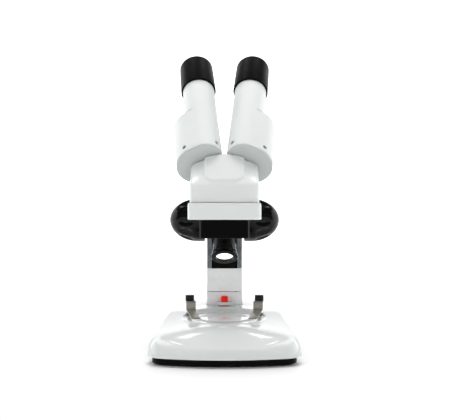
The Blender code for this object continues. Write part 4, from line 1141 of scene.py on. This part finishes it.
def floor():
    """A pale floor under the object, lit from within towards its rim so that it ends in white."""
    bm = bmesh.new()
    bm.faces.new([bm.verts.new(point) for point in ring(circle(FLOOR_R, 96), 0.0)])
    look = Look("floor_paper")
    look.feed(look.mix(look.noise(DRIFT_SCALE), (0.93,) * 3, (0.92,) * 3), "Base Color")
    look.feed(look.between(look.noise(GLOSS_SCALE, 5.0), 0.5, 0.6), "Roughness")
    away = look.node("ShaderNodeVectorMath", operation="LENGTH")
    look.link(look.place, away.inputs[0])
    glow = look.between(away.outputs["Value"], 0.0, 1.0, FLOOR_PLAIN * MM, FLOOR_GLOW * MM)
    look.feed(glow, "Emission Strength")
    socket(look.shader, "Emission Color", (1.0, 1.0, 1.0, 1.0))
    made = piece("floor", bm, look.material, None)


def backdrop():
    """A lit white wall behind the object, and a white surround that only the camera sees."""
    look = Look("backdrop_white")
    tint = look.mix(look.noise(0.2), (0.985, 0.99, 0.995), (1.0, 1.0, 1.0))
    look.feed(tint, "Emission Color")
    look.feed(tint, "Base Color")
    socket(look.shader, "Emission Strength", 1.0)
    line = [(0, -3000), (11800, -1500), (12000, 0), (10400, 6000), (6000, 10400), (0, 12000)]
    dome = piece("surround", turned(soften(line, 900.0), 96), look.material, None)
    dome.visible_diffuse = dome.visible_glossy = dome.visible_shadow = False
    line = [(-WALL_X, WALL_NEAR), (-WALL_X, WALL_BEND)]
    for step in range(1, WALL_STEPS + 1):
        angle = pi / 2 * step / WALL_STEPS
        line.append((WALL_BEND - WALL_X - WALL_BEND * cos(angle),
                     WALL_BEND + WALL_BEND * sin(angle)))
    line += [(-x, y) for x, y in reversed(line)]
    wall = bmesh.new()
    rows = [[wall.verts.new(point) for point in ring(line, z)] for z in (WALL_LOW, WALL_TOP)]
    for i in range(len(line) - 1):
        wall.faces.new((rows[0][i], rows[0][i + 1], rows[1][i + 1], rows[1][i]))
    for thing in (dome, piece("back_wall", wall, look.material, None)):
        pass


def light(name, place, target, size, power, glossy=True):
    """A soft rectangular light; a hidden one lights surfaces but leaves no highlight."""
    made = bpy.data.lights.new(name, "AREA")
    made.shape = "RECTANGLE"
    made.size, made.size_y = size[0] * MM, size[1] * MM
    made.energy = power
    panel = add(name, made)
    start, stop = Vector(place) * MM, Vector(target) * MM
    panel.location = start
    panel.rotation_euler = (stop - start).to_track_quat("-Z", "Y").to_euler()
    panel.visible_glossy = glossy


def studio():
    """Soft light from both front corners, and from above and behind."""
    world = bpy.data.worlds.new("room")
    bpy.context.scene.world = world
    world.use_nodes = True
    room = world.node_tree.nodes["Background"]
    socket(room, "Color", (1.0, 1.0, 1.0, 1.0))
    socket(room, "Strength", WORLD_LIGHT)
    light("top", (0, 300, 2200), (0, 0, 60), (1500, 1300), TOP_LIGHT, False)
    for name, side in SIDES:
        light(name, (side * 1500, -1400, 800), (0, 0, 80), (1300, 1500), SIDE_LIGHT, False)
        light(name + "_box", (side * 480, 1000, 1750), (0, 0, 30), (300, 440), BOX_LIGHT)
    bpy.context.scene.view_settings.view_transform = "Standard"


def camera():
    """A level lens at the height of the head's lower edge, well in front of the stage."""
    made = bpy.data.cameras.new("camera")
    made.sensor_width = SENSOR
    made.lens = FOCAL
    made.clip_end = 50.0
    eye = add("camera", made)
    eye.location = CAMERA_AT * MM
    eye.rotation_euler = (radians(90), 0, 0)
    bpy.context.scene.camera = eye


base_shell()
base_plate()
battery_door()
base_screws()
pillar()
switch()
stage()
focus_drive()
head_frame()
head_cover()
objective()
lamp()
for drum_key, drum_side in SIDES:
    drum(drum_key, drum_side)
kept_nodes()
floor()
backdrop()
studio()
camera()
